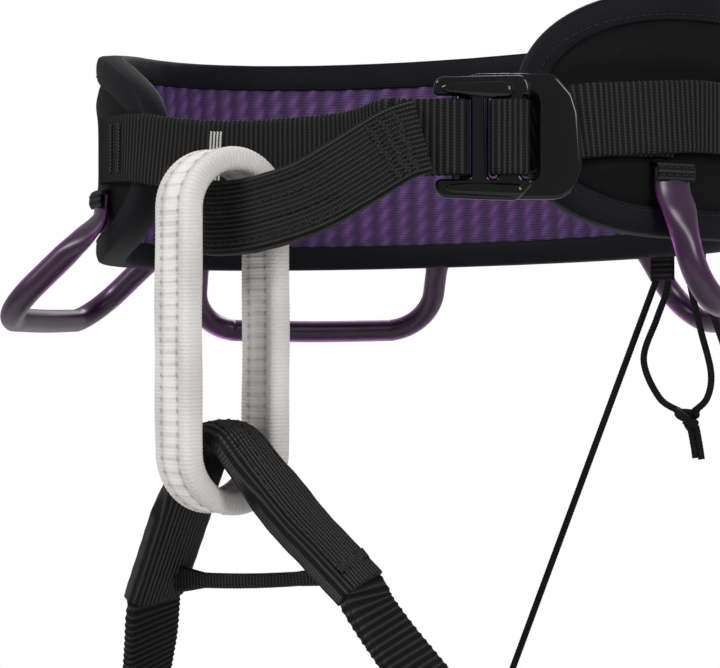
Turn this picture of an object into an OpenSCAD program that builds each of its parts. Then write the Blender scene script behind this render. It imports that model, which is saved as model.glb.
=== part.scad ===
// Climbing sit harness: padded waist belt, tie-in loop, belay loop, bridge, leg loops, gear loops.
// Millimetres. +Z is up, the front of the harness faces -Y, and the origin is the middle of the waist.

/* [Waist belt] */
// Half width of the belt's outer face, side to side
waist_a = 133; // [120:1:150]
// Half depth of the belt's outer face, front to back
waist_b = 110; // [100:1:125]
// Height of the padded belt
belt_h = 82; // [74:1:90]
// Thickness of the padded belt
belt_t = 9; // [8:0.5:10]
// Angle of the belt's end beside the buckle, from the front towards the wearer's left
belt_start = 45; // [43:1:47]
// Angle of the belt's other end, the long way round the back
belt_end = 338; // [336:1:340]
// How far the left side of the belt sits above the right one
belt_lean = 3; // [0:0.5:4]
// How much taller the belt is above its middle line at the back
belt_rise = 0.15; // [0.1:0.01:0.18]

/* [Webbing] */
// Width of the load-bearing webbing
web_w = 25; // [24:0.5:26]
// Thickness of the load-bearing webbing
web_t = 2.1; // [1.9:0.1:2.2]

/* [Belay loop] */
// Outside length of the belay loop
belay_len = 124; // [120:1:124]
// Outside width of the belay loop
belay_out = 42; // [42:0.5:43]
// Width of the belay loop's webbing
belay_w = 21; // [18:0.5:22]
// Thickness of the belay loop's layers
belay_t = 8; // [7.5:0.1:8]

/* [Gear loops] */
// Radius of a gear loop's tube
gear_r = 4.8; // [4.4:0.1:4.9]
// Inner radius of a gear loop's tube
gear_core_r = 3.2; // [2.8:0.1:3.4]
// Shortens or lengthens every gear loop
gear_extra = 0; // [-3:1:3]

/* [Leg loops] */
// Half width of a leg loop's outer face, side to side
leg_a = 80; // [76:1:84]
// Half depth of a leg loop's outer face, front to back
leg_b = 92; // [88:1:96]
// Height of the padded leg loop
leg_h = 60; // [54:1:64]
// Thickness of the padded leg loop
leg_t = 8; // [7:0.5:8]

/* [Hidden] */
$fn = 48;

// Colours
black = [0.05, 0.05, 0.055];
navy = [0.10, 0.10, 0.14];
purple = [0.25, 0.13, 0.36];
white = [0.86, 0.85, 0.84];
violet = [0.42, 0.10, 0.48];
foam_grey = [0.35, 0.35, 0.37];
metal_black = [0.03, 0.03, 0.035];

// Clearance between soft layers, and between parts that move
layer_gap = 0.15;
run_gap = 0.4;

shell_t = 1.2;
lining_t = 1.3;
bind_t = 0.8;
bind_w = 9;

// A padded ring: half width, half depth, start and end angles, half height, thickness,
// degrees over which its ends narrow, lean, and rise at the back
BELT = [waist_a, waist_b, belt_start, belt_end, belt_h / 2, belt_t, 38, belt_lean, belt_rise];
LEG = [leg_a, leg_b, 58, 330, leg_h / 2, leg_t, 34, 0, 0];

// Buckles: the angle where each sits, how far its middle stands off the pad, and its height
WAIST_BUCKLE = [40, 10, -9];
LEG_BUCKLE = [52, 11, 0];
frame_w = 43;
frame_h = 42;
frame_t = 4;
// Along the plate: its left end, the middle of its left bar, its middle bar, its right bar and its right end
plate_x = [-18, -10.5, -5.8, 0.2, 3.1, 11.1, 14.5];
plate_h = 41;
plate_t = 3.6;
plate_bar_r = 1.8;

// Belay loop and the padded bridge that hangs in it
belay_at = [11.5, -134, -71];
belay_yaw = -17;
bridge_path = [[-38.5, -111, -164], [-27, -117.5, -149.5], [-13, -125, -131], [0.5, -131, -113],
               [5.5, -132.6, -108.5], [12.5, -134.2, -106.5], [19.5, -136, -108.5], [25, -137, -113],
               [41, -132, -133], [52, -128.4, -144.5], [62.5, -125, -155.5]];
bridge_w = 21;
bridge_w_mid = 16;
bridge_t = 9;

// The leg loops hang in a frame of their own, below the middle of the bridge
low_at = [12, -118, -159.7];
low_roll = -4.8;
low_yaw = -8;
leg_at = [90, 96, -108];
leg_pitch = -11;
leg_roll = -13;

// Angles where each gear loop starts and ends, how far it stands out from vertical, and its depth
GEAR_LEFT_FRONT = [72, 117, 14, 37];
GEAR_LEFT_REAR = [125, 167, 34, 48];
GEAR_RIGHT_FRONT = [263, 321, 47, 52];
GEAR_RIGHT_REAR = [206, 256, 32, 47];
gear_z = -28.5;
gear_off = 5.4;
gear_bend = 20;

// ---------------------------------------------------------------- vectors, curves and skins
function unit(v) = v / norm(v);
function square_to(v, t) = unit(v - (v * t) * t);
function rev(v) = [for (i = [len(v) - 1:-1:0]) v[i]];

// A smooth curve through points: value at u, from 0 to the last index
function curve(p, u) =
    let (n = len(p) - 1, i = min(floor(u), n - 1), f = u - i,
         a = p[max(i - 1, 0)], b = p[i], c = p[i + 1], d = p[min(i + 2, n)])
    0.5 * (2 * b + (c - a) * f + (2 * a - 5 * b + 4 * c - d) * f * f + (3 * b - a - 3 * c + d) * f * f * f);
function samples(p, per) = let (n = (len(p) - 1) * per) [for (i = [0:n]) curve(p, i / per)];
function tangent(q, i) = unit(q[min(i + 1, len(q) - 1)] - q[max(i - 1, 0)]);

// Solid between rings of points, one ring after another
module skin(rings, closed = false) {
    n = len(rings);
    m = len(rings[0]);
    last = closed ? n - 1 : n - 2;
    sides = [for (i = [0:last], j = [0:m - 1])
        let (k = (i + 1) % n, l = (j + 1) % m)
        each [[i * m + j, i * m + l, k * m + l], [i * m + j, k * m + l, k * m + j]]];
    caps = closed ? [] : [[for (j = [m - 1:-1:0]) j], [for (j = [0:m - 1]) (n - 1) * m + j]];
    polyhedron(points = [for (r = rings) each r], faces = concat(sides, caps), convexity = 10);
}

// Flat webbing along the points q: ups are the width's directions, off moves it outward
function strap_ring(p, t, up, w, thick, off) =
    let (u = square_to(up, t), n = cross(t, u), a = off - thick / 2, b = off + thick / 2)
    [p - u * w / 2 + n * a, p + u * w / 2 + n * a, p + u * w / 2 + n * b, p - u * w / 2 + n * b];
module strap(q, ups, w, thick, off = 0) {
    skin([for (i = [0:len(q) - 1])
        rev(strap_ring(q[i], tangent(q, i), ups[i], is_list(w) ? w[i] : w, thick, off))]);
}
module level_strap(q, w, thick, off = 0) {
    strap(q, [for (p = q) [0, 0, 1]], w, thick, off);
}

// Round cord along points
function cord_ring(p, t, r, sides) =
    let (side = abs(t[2]) > 0.9 ? [1, 0, 0] : [0, 0, 1], u = square_to(side, t), n = cross(t, u))
    [for (k = [0:sides - 1]) p + r * (cos(360 * k / sides) * u + sin(360 * k / sides) * n)];
module cord(q, r, sides = 8) {
    skin([for (i = [0:len(q) - 1]) rev(cord_ring(q[i], tangent(q, i), r, sides))]);
}

// ---------------------------------------------------------------- padded rings
// Point on the outer face of padded ring g at angle th, height z above its middle line, moved out by off
function ring_normal(g, th) = unit([sin(th) / g[0], -cos(th) / g[1], 0]);
function ring_point(g, th, z = 0, off = 0) =
    [g[0] * sin(th), -g[1] * cos(th), (z > 0 ? z * (1 + g[8] * (1 - cos(th)) / 2) : z) + g[7] * sin(th)]
    + off * ring_normal(g, th);
function ring_speed(g, th) = norm([g[0] * cos(th), g[1] * sin(th)]) * PI / 180;
mid_count = 24;
function mid_angle(g, i) = g[2] + g[6] + i * (g[3] - g[2] - 2 * g[6]) / mid_count;

// The shape of a pad's end, and its stations along the pad as [angle, half height]
function tip_point(a) = [1 - pow(abs(cos(a)), 2 / 3), sign(sin(a)) * pow(abs(sin(a)), 0.8)];
half_tip = [12, 28, 45, 62, 80];
function pad_stations(g) = concat(
    [for (a = half_tip) let (p = tip_point(a)) [g[2] + g[6] * p[0], g[4] * p[1]]],
    [for (i = [0:mid_count]) [mid_angle(g, i), g[4]]],
    [for (a = rev(half_tip)) let (p = tip_point(a)) [g[3] - g[6] * p[0], g[4] * p[1]]]);

// A layer of the pad from off_a in to off_b, its edge set in by inset
module pad_layer(g, off_a, off_b, inset) {
    skin([for (p = pad_stations(g))
        let (th = p[0], h = p[1] - inset)
        [ring_point(g, th, -h, off_a), ring_point(g, th, h, off_a),
         ring_point(g, th, h, off_b), ring_point(g, th, -h, off_b)]]);
}

// The edge of the pad as [angle, height], once round, and the way inward at each point
tip_angles = [-80, -62, -45, -28, -12, 0, 12, 28, 45, 62, 80];
function pad_edge(g) = concat(
    [for (a = tip_angles) let (p = tip_point(a)) [g[2] + g[6] * p[0], g[4] * p[1]]],
    [for (i = [0:mid_count]) [mid_angle(g, i), g[4]]],
    [for (a = rev(tip_angles)) let (p = tip_point(a)) [g[3] - g[6] * p[0], g[4] * p[1]]],
    [for (i = [mid_count:-1:0]) [mid_angle(g, i), -g[4]]]);
function edge_inward(g, q, i) =
    let (n = len(q), a = q[(i + n - 1) % n], b = q[(i + 1) % n], k = ring_speed(g, q[i][0]),
         t = unit([(b[0] - a[0]) * k, b[1] - a[1]]))
    [t[1] / k, -t[0]];
module pad_binding(g) {
    q = pad_edge(g);
    in_a = layer_gap;
    in_b = -g[5] - layer_gap;
    section = [[bind_w, in_a + bind_t], [-bind_t, in_a + bind_t], [-bind_t, in_b - bind_t],
               [bind_w, in_b - bind_t], [bind_w, in_b], [-layer_gap, in_b], [-layer_gap, in_a], [bind_w, in_a]];
    skin([for (i = [0:len(q) - 1])
        let (n = edge_inward(g, q, i))
        [for (s = section) ring_point(g, q[i][0] + n[0] * s[0], q[i][1] + n[1] * s[0], s[1])]], closed = true);
}

// Places its children on a ring: X along it, Y inward, Z up
module on_ring(g, th, z = 0, off = 0) {
    n = ring_normal(g, th);
    translate(ring_point(g, th, z, off)) rotate([0, 0, atan2(n[0], -n[1])]) children();
}

module pad_shell(g) { color(black) pad_layer(g, 0, -shell_t, 0.4); }
module pad_foam(g, depth) { color(foam_grey) pad_layer(g, -depth, -g[5] + lining_t + layer_gap, 1.2); }
module pad_lining(g) { color(purple) pad_layer(g, -g[5] + lining_t, -g[5], 0.4); }

// ---------------------------------------------------------------- waist belt
module waist_shell() { pad_shell(BELT); }
module waist_foam() { pad_foam(BELT, shell_t + web_t + 1.1); }
module waist_lining() { pad_lining(BELT); }
module waist_binding() { color(navy) pad_binding(BELT); }
module waist_webbing_core() {
    q = [for (i = [0:52]) ring_point(BELT, 66 + i * 5, 0, 0)];
    color(black) level_strap(q, web_w, web_t, -shell_t - 0.75 - web_t / 2);
}

// ---------------------------------------------------------------- buckles, each in its own frame:
// X along the webbing, Y inward, Z up; Y = 0 is the outer face of the frame
function buckle_point(g, at, x, y) =
    let (n = ring_normal(g, at[0]))
    ring_point(g, at[0], 0, at[1]) + [-n[1], n[0], 0] * x - n * y + [0, 0, at[2]];
module at_buckle(g, at) { on_ring(g, at[0], at[2], at[1]) children(); }

module rounded(w, h, r) {
    union() {
        square([w - 2 * r, h], center = true);
        square([w, h - 2 * r], center = true);
        for (x = [-1, 1], z = [-1, 1]) translate([x * (w / 2 - r), z * (h / 2 - r)]) circle(r);
    }
}
module upright(depth) { rotate([90, 0, 0]) linear_extrude(height = depth, center = true) children(); }

// A ring with one wide window
frame_x = 9.5;
module frame_body() {
    color(metal_black) translate([frame_x, frame_t / 2, 0.8]) upright(frame_t) difference() {
        rounded(frame_w, frame_h, 9);
        translate([-4.25, 0]) rounded(frame_w - 20.5, web_w + 4, 3);
    }
}
// A plate whose left bar is round, with bars set in from the ends of its two arms
plate_left = plate_x[1];
plate_y = -plate_t / 2 - web_t - 2 * run_gap;
inner_h = web_w + 2.4;
module slot(a, b) { translate([(a + b) / 2, 0]) square([b - a, inner_h], center = true); }
module plate_body() {
    color(metal_black) translate([0, plate_y, 0]) union() {
        upright(plate_t) difference() {
            translate([(plate_x[0] + plate_x[6]) / 2, 0]) rounded(plate_x[6] - plate_x[0], plate_h, 5);
            slot(plate_x[0] - 1, plate_x[2]);
            slot(plate_x[3], plate_x[4]);
            slot(plate_x[5], plate_x[6] + 1);
        }
        translate([plate_left, 0, -inner_h / 2 - 1]) cylinder(r = plate_bar_r, h = inner_h + 2);
    }
}
// Webbing over the plate's right bar, open at the back
module wrap_body() {
    x0 = plate_x[4] - run_gap;
    x1 = plate_x[5] + run_gap;
    y0 = plate_y - plate_t / 2 - run_gap;
    y1 = plate_y + plate_t / 2 + run_gap;
    color(black) translate([0, 0, -web_w / 2]) linear_extrude(height = web_w) difference() {
        translate([x0 - web_t, y0 - web_t]) square([x1 - x0 + 2 * web_t, y1 - y0 + web_t]);
        translate([x0, y0]) square([x1 - x0, y1 - y0 + 1]);
    }
}
// The strap's end, folded round the plate's left bar
fold_r = plate_bar_r + run_gap + web_t / 2;
fold_points = concat([[plate_left - 12, plate_y - fold_r], [plate_left - 5, plate_y - fold_r]],
    [for (a = [-90:30:90]) [plate_left + fold_r * cos(a), plate_y + fold_r * sin(a)]],
    [[plate_left - 5, plate_y + fold_r], [plate_left - 11, plate_y + fold_r]]);
function fold(g, at) = [for (p = fold_points) buckle_point(g, at, p[0], p[1])];
module buckle_frame() { at_buckle(BELT, WAIST_BUCKLE) frame_body(); }
module buckle_plate() { at_buckle(BELT, WAIST_BUCKLE) plate_body(); }
module buckle_wrap() { at_buckle(BELT, WAIST_BUCKLE) wrap_body(); }

// ---------------------------------------------------------------- waist webbing
// The load strand runs from behind the frame to the belt, and the tail lies outside it
strand_off = 2.9;
tail_off = 5.3;
strand_start = [[13, 8.4], [20, 8.5], [27, 9.3], [34, 11.1]];
loose_start = [[15, 5.6], [21, 5.6], [29, 6], [36, 8]];
module waist_webbing_right() {
    q = concat([for (p = strand_start) buckle_point(BELT, WAIST_BUCKLE, p[0], p[1])],
        [for (th = [60:4:72]) ring_point(BELT, th, -2, strand_off)]);
    color(black) level_strap(q, web_w, web_t);
}
module waist_tail() {
    q = concat([for (p = loose_start) buckle_point(BELT, WAIST_BUCKLE, p[0], p[1])],
        [for (th = [60:4:120]) ring_point(BELT, th, -2 + min((th - 60) / 8, 2), tail_off)]);
    color(black) level_strap(q, web_w, web_t);
}
// An elastic ring round a tail that lies at off, with room to slide
module keeper(g, th, off, w) {
    color(black) on_ring(g, th, 0, off + 0.1) difference() {
        cube([w, web_t + 3.4, web_w + 5.2], center = true);
        cube([w + 2, web_t + 1.2, web_w + 2.4], center = true);
    }
}
module tail_keeper_front() { keeper(BELT, 92, tail_off, 10); }
module tail_keeper_rear() { keeper(BELT, 110, tail_off, 10); }

// From the belt's right end, behind the tie-in loop, to a fold over the plate's left bar
left_path = [ring_point(BELT, 321, -1, 2.6), ring_point(BELT, 329, -1.5, 2.6), ring_point(BELT, 337, -3, 2.7),
             [-30, -108, -7.5], [-8, -108, -9.5], [15, -108, -10], [45, -110, -9.5],
             buckle_point(BELT, WAIST_BUCKLE, -35, -5.5), buckle_point(BELT, WAIST_BUCKLE, -29, plate_y - fold_r)];
module waist_webbing_left() {
    color(black) level_strap(concat(samples(left_path, 4), fold(BELT, WAIST_BUCKLE)), web_w, web_t);
}

// The stitched front layer of the tie-in loop, thinner where it meets the strap near the buckle
tie_in_path = [[-24, -123, -24], [-13, -128.5, -29], [2, -132.5, -32.3], [14, -135, -32.8], [28, -136.5, -31.6],
               [46, -134.5, -27], [59, -128.6, -19.5], buckle_point(BELT, WAIST_BUCKLE, -31, -12.4) + [0, 0, -3],
               buckle_point(BELT, WAIST_BUCKLE, -24.5, -12.4)];
module tie_in_sleeve() {
    q = samples(tie_in_path, 4);
    n = len(q) - 1;
    thick = [for (i = [0:n]) 5 - 3 * pow(max(0, 2 * i / n - 1), 2)];
    color(black) skin([for (i = [0:n])
        rev(strap_ring(q[i], tangent(q, i), [0, 0, 1], web_w, thick[i], -thick[i] / 2))]);
}

// ---------------------------------------------------------------- belay loop
module racetrack(length, width) {
    straight = length - width;
    union() {
        square([width, straight], center = true);
        for (z = [-1, 1]) translate([0, z * straight / 2]) circle(d = width);
    }
}
module belay_loop() {
    color(white) translate(belay_at) rotate([0, 0, belay_yaw + 90]) upright(belay_w) difference() {
        racetrack(belay_len, belay_out);
        racetrack(belay_len - 2 * belay_t, belay_out - 2 * belay_t);
    }
}

// ---------------------------------------------------------------- bridge between the leg loops
function turn_x(v, a) = [v[0], v[1] * cos(a) - v[2] * sin(a), v[1] * sin(a) + v[2] * cos(a)];
function turn_y(v, a) = [v[0] * cos(a) + v[2] * sin(a), v[1], v[2] * cos(a) - v[0] * sin(a)];
function turn_z(v, a) = [v[0] * cos(a) - v[1] * sin(a), v[0] * sin(a) + v[1] * cos(a), v[2]];
function low_point(p) = low_at + turn_z(turn_y(p, low_roll), low_yaw);
module at_low() { translate(low_at) rotate([0, low_roll, low_yaw]) children(); }

function bridge_up(i, n) = turn_z([0, 1, 0], -12 + 4 * abs(i - n / 2) / n);
module bridge_sleeve() {
    q = samples(bridge_path, 4);
    w = [for (i = [0:len(q) - 1]) bridge_w_mid + (bridge_w - bridge_w_mid) * min(1, pow(abs(i - 20) / 14, 4))];
    color(black) strap(q, [for (i = [0:len(q) - 1]) bridge_up(i, len(q))], w, bridge_t);
}
// The leg webbing's short ends below the sleeve
stub = 5;
module bridge_webbing() {
    q = samples(bridge_path, 4);
    n = len(q) - 1;
    color(black) for (e = [[q[n], tangent(q, n)], [q[0], -tangent(q, 0)]])
        strap([e[0] + 0.02 * e[1], e[0] + stub * e[1]], [for (k = [0, 1]) turn_z([0, 1, 0], low_yaw)], bridge_w - 1, 5);
}
module bridge_cross_strap() { color(black) at_low() translate([0, -1, 3]) cube([77, 2, 5], center = true); }

// ---------------------------------------------------------------- gear loops, in their own frame:
// X along the line between the two ends, -Y outward, Z up
function gear_end(g, k) = ring_point(BELT, g[k], gear_z, gear_off);
function gear_width(g) = norm(gear_end(g, 1) - gear_end(g, 0));
module at_gear(g) {
    chord = gear_end(g, 1) - gear_end(g, 0);
    translate((gear_end(g, 0) + gear_end(g, 1)) / 2) rotate([0, 0, atan2(chord[1], chord[0])]) children();
}
module pipe(r_out, r_in) {
    difference() {
        circle(r_out);
        if (r_in > 0) circle(r_in);
    }
}
module gear_run(g, r_out, r_in) {
    half = gear_width(g) / 2;
    depth = g[3] + gear_extra;
    straight = depth - gear_bend;
    at_gear(g) rotate([-g[2], 0, 0]) union() {
        for (s = [-1, 1]) {
            translate([s * half, 0, -straight]) linear_extrude(height = straight) pipe(r_out, r_in);
            translate([s * (half - gear_bend), 0, -straight]) rotate([-90, 0, 0]) rotate([0, 0, s > 0 ? 0 : 90])
                rotate_extrude(angle = 90) translate([gear_bend, 0]) pipe(r_out, r_in);
        }
        translate([gear_bend - half, 0, -depth]) rotate([0, 90, 0])
            linear_extrude(height = 2 * (half - gear_bend)) pipe(r_out, r_in);
    }
}
module gear_tube(g) { color(violet) gear_run(g, gear_r, gear_core_r + 0.2); }
module gear_core(g) { color(black) gear_run(g, gear_core_r, 0); }
module gear_left_front_tube() { gear_tube(GEAR_LEFT_FRONT); }
module gear_left_front_core() { gear_core(GEAR_LEFT_FRONT); }
module gear_left_rear_tube() { gear_tube(GEAR_LEFT_REAR); }
module gear_left_rear_core() { gear_core(GEAR_LEFT_REAR); }
module gear_right_front_tube() { gear_tube(GEAR_RIGHT_FRONT); }
module gear_right_front_core() { gear_core(GEAR_RIGHT_FRONT); }
module gear_right_rear_tube() { gear_tube(GEAR_RIGHT_REAR); }
module gear_right_rear_core() { gear_core(GEAR_RIGHT_REAR); }

// The sewn tabs that hold the gear loops' ends
tab_h = 7;
module gear_loop_tabs() {
    color(black) for (g = [GEAR_LEFT_FRONT, GEAR_LEFT_REAR, GEAR_RIGHT_FRONT, GEAR_RIGHT_REAR], k = [0, 1])
        on_ring(BELT, g[k], gear_z + gear_r + 1.5 + tab_h / 2, 4.6) cube([13, 7.4, tab_h], center = true);
}

// ---------------------------------------------------------------- back of the belt
haul_at = 187;
haul_z = 6;
haul_h = 32;
module haul_tab() {
    color(black) on_ring(BELT, haul_at, haul_z, 0) translate([0, -2.4, -7]) cube([19, 4, 14], center = true);
}
module haul_loop() {
    color(black) on_ring(BELT, haul_at, haul_z - 14.4 - haul_h / 2, 0) translate([0, -2.4, 0]) upright(2.4) difference() {
        rounded(16, haul_h, 6);
        rounded(8, haul_h - 7, 3);
    }
}

// Two small sewn tabs at the belt's lower edge, where the leg loops' cords start
tab_low = -50;
RISER_AT = [149.5, 158.5];
module riser_tabs() {
    color(black) for (th = RISER_AT) on_ring(BELT, th, tab_low, 2.2) translate([-7, -1, 0]) cube([14, 2, 24]);
}
riser_r = 1.4;
function riser_top(k, x) =
    let (p = ring_point(BELT, RISER_AT[k], tab_low - 0.7, 2.2), n = ring_normal(BELT, RISER_AT[k]))
    p + [-n[1], n[0], 0] * x;

// ---------------------------------------------------------------- leg loops
function leg_point(s, th, z, off) =
    let (q = leg_at + turn_y(turn_x(ring_point(LEG, th, z, off), leg_pitch), leg_roll))
    low_point([s * q[0], q[1], q[2]]);
function to_leg(p) = turn_x(turn_y(p - leg_at, -leg_roll), -leg_pitch);
module at_leg(s) { at_low() flip(s) translate(leg_at) rotate([leg_pitch, leg_roll, 0]) children(); }
module flip(s) {
    if (s > 0) children();
    else mirror([1, 0, 0]) children();
}

// Where each leg loop's cord ends
LEG_TAB = [152, 186];
module leg_tab(s, th) {
    color(black) at_leg(s) on_ring(LEG, th, leg_h / 2 - 14, 2.2) translate([-6, -1, 0]) cube([12, 2, 22]);
}
module riser(k, s) {
    top = riser_top(k, k == 0 ? -3.5 : 3.5);
    low = leg_point(s, LEG_TAB[k], leg_h / 2 + 8.7, 2.2);
    color(black) cord([for (i = [0:12]) top + (low - top) * i / 12], riser_r);
}
module riser_left() { riser(0, 1); }
module riser_right() { riser(1, -1); }

// A loop of the same cord hangs between the tabs, with an overhand knot at its lower end
knot_at = [62, 102, -106];
module adjuster_loop() {
    a = riser_top(1, -3.5);
    b = riser_top(0, 3.5);
    color(black) union() {
        cord(samples([a, a + [-1.5, 0.8, -6], [46.5, 105, -66], [41, 104, -82.6], [49, 102.5, -98],
                      knot_at + [-3.4, 0, 2.6]], 5), riser_r);
        cord(samples([b, b + [0.5, 1, -6], [68, 102.5, -70], [72.5, 103, -87.5], [71, 102.5, -98],
                      knot_at + [3.4, 0, 2.6]], 5), riser_r);
    }
}
module adjuster_knot() {
    color(black) translate(knot_at) union() {
        sphere(4);
        translate([4.6, 0.6, -14.5]) rotate([0, -14, 0]) cylinder(r = riser_r, h = 14);
        translate([3.2, -2.6, -14]) rotate([0, -14, 0]) cylinder(r = riser_r, h = 13);
    }
}

// The strap from the bridge to the leg buckle, in the frame below the bridge
strap_low = [[54.6, 1.2, -7.2], [63, 6, -22], [78, 13, -44], [101, 20, -64]];
strap_turn = [[0, 1, 0], [0, 1, 0.15], [0, 1, 0.6], [0, 0.6, 1]];
// The strap's inner branch, from the pad's other end up behind it
branch_low = [[63, 13, -89], [69, 15.5, -70], [72.5, 19, -55]];
branch_turn = [[-0.55, 0.2, 0.8], [-0.75, 0.4, 0.5], [-0.7, 0.6, 0.4]];
function leg_dir(v) = turn_x(turn_y(v, -leg_roll), -leg_pitch);

module leg_strap(s) {
    ends = [for (x = [-36, -30]) buckle_point(LEG, LEG_BUCKLE, x, plate_y - fold_r + (x < -32 ? 1.5 : 0))];
    path = samples(concat([for (p = strap_low) to_leg(p)], ends), 4);
    ups = samples(concat([for (v = strap_turn) leg_dir(v)], [[0, 0, 1], [0, 0, 1]]), 4);
    folded = fold(LEG, LEG_BUCKLE);
    color(black) at_leg(s) strap(concat(path, folded), concat(ups, [for (p = folded) [0, 0, 1]]), web_w, web_t);
}
module leg_webbing(s) {
    q = concat([for (p = leg_strand) buckle_point(LEG, LEG_BUCKLE, p[0], p[1])],
        [for (i = [0:26]) ring_point(LEG, 82 + 9.5 * i, 0, 1.5 + max(0, i - 23) * 0.6)], [for (p = branch_low) to_leg(p)]);
    u = concat([for (i = [0:30]) [0, 0, 1]], [for (v = branch_turn) leg_dir(v)]);
    color(black) at_leg(s) strap(samples(q, 2), samples(u, 2), web_w, web_t);
}
leg_tail_off = 5.7;
leg_strand = [[13, 8.6], [20, 9.2], [27, 11], [34, 14.2]];
leg_loose = [[15, 5.6], [21, 5.7], [29, 7], [36, 10.4]];
module leg_tail(s) {
    q = concat([for (p = leg_loose) buckle_point(LEG, LEG_BUCKLE, p[0], p[1])],
        [for (th = [82:6:136]) ring_point(LEG, th, 0, leg_tail_off)]);
    color(black) at_leg(s) level_strap(q, web_w, web_t);
}
module leg_frame(s) { at_leg(s) at_buckle(LEG, LEG_BUCKLE) frame_body(); }
module leg_plate(s) { at_leg(s) at_buckle(LEG, LEG_BUCKLE) plate_body(); }
module leg_wrap(s) { at_leg(s) at_buckle(LEG, LEG_BUCKLE) wrap_body(); }
module leg_keeper(s) { at_leg(s) keeper(LEG, 112, leg_tail_off, 8); }

module leg_left_shell() { at_leg(1) pad_shell(LEG); }
module leg_left_foam() { at_leg(1) pad_foam(LEG, shell_t + layer_gap); }
module leg_left_lining() { at_leg(1) pad_lining(LEG); }
module leg_left_binding() { color(navy) at_leg(1) pad_binding(LEG); }
module leg_left_strap() { leg_strap(1); }
module leg_left_webbing() { leg_webbing(1); }
module leg_left_tail() { leg_tail(1); }
module leg_left_riser_tab() { leg_tab(1, LEG_TAB[0]); }
module leg_left_buckle_frame() { leg_frame(1); }
module leg_left_buckle_plate() { leg_plate(1); }
module leg_left_buckle_wrap() { leg_wrap(1); }
module leg_left_keeper() { leg_keeper(1); }
module leg_right_shell() { at_leg(-1) pad_shell(LEG); }
module leg_right_foam() { at_leg(-1) pad_foam(LEG, shell_t + layer_gap); }
module leg_right_lining() { at_leg(-1) pad_lining(LEG); }
module leg_right_binding() { color(navy) at_leg(-1) pad_binding(LEG); }
module leg_right_strap() { leg_strap(-1); }
module leg_right_webbing() { leg_webbing(-1); }
module leg_right_tail() { leg_tail(-1); }
module leg_right_riser_tab() { leg_tab(-1, LEG_TAB[1]); }
module leg_right_buckle_frame() { leg_frame(-1); }
module leg_right_buckle_plate() { leg_plate(-1); }
module leg_right_buckle_wrap() { leg_wrap(-1); }
module leg_right_keeper() { leg_keeper(-1); }

waist_shell();
waist_foam();
waist_lining();
waist_binding();
waist_webbing_core();
waist_webbing_left();
tie_in_sleeve();
buckle_frame();
waist_webbing_right();
waist_tail();
gear_loop_tabs();
haul_tab();
riser_tabs();
bridge_sleeve();
bridge_webbing();
bridge_cross_strap();
riser_left();
riser_right();
adjuster_loop();
adjuster_knot();
buckle_plate();
buckle_wrap();
tail_keeper_front();
tail_keeper_rear();
belay_loop();
gear_left_front_tube();
gear_left_front_core();
gear_left_rear_tube();
gear_left_rear_core();
gear_right_front_tube();
gear_right_front_core();
gear_right_rear_tube();
gear_right_rear_core();
haul_loop();
leg_left_shell();
leg_left_foam();
leg_left_lining();
leg_left_binding();
leg_left_strap();
leg_left_webbing();
leg_left_tail();
leg_left_riser_tab();
leg_left_buckle_frame();
leg_left_buckle_plate();
leg_left_buckle_wrap();
leg_left_keeper();
leg_right_shell();
leg_right_foam();
leg_right_lining();
leg_right_binding();
leg_right_strap();
leg_right_webbing();
leg_right_tail();
leg_right_riser_tab();
leg_right_buckle_frame();
leg_right_buckle_plate();
leg_right_buckle_wrap();
leg_right_keeper();
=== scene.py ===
"""Climbing sit harness: every soft part in mesh code around the CAD frame. Lengths are mm until a mesh is made."""

import bmesh
import bpy
import numpy as np
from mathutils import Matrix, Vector


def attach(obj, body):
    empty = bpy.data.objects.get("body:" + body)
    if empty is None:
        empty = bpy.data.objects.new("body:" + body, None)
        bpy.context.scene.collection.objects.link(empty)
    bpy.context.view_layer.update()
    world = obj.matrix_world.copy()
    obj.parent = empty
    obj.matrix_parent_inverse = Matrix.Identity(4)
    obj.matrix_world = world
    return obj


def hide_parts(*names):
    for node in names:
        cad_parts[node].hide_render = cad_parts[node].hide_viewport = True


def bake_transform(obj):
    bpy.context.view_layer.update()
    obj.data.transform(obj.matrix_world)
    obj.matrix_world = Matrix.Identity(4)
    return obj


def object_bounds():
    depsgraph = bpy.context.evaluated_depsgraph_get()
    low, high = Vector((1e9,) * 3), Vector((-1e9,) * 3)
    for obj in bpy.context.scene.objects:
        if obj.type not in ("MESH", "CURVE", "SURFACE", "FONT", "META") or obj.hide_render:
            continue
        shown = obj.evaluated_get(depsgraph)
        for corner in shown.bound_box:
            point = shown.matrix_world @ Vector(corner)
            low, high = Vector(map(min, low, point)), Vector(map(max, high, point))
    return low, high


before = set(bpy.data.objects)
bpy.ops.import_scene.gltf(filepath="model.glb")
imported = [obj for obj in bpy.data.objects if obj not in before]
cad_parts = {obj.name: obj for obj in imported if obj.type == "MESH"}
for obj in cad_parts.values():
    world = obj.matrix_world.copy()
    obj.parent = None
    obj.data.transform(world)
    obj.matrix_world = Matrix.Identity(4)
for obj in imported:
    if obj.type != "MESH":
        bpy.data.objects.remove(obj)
cad_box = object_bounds()
scene = bpy.context.scene
MM = 0.001
PI = np.pi
join = np.concatenate
norm = np.linalg.norm

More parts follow.
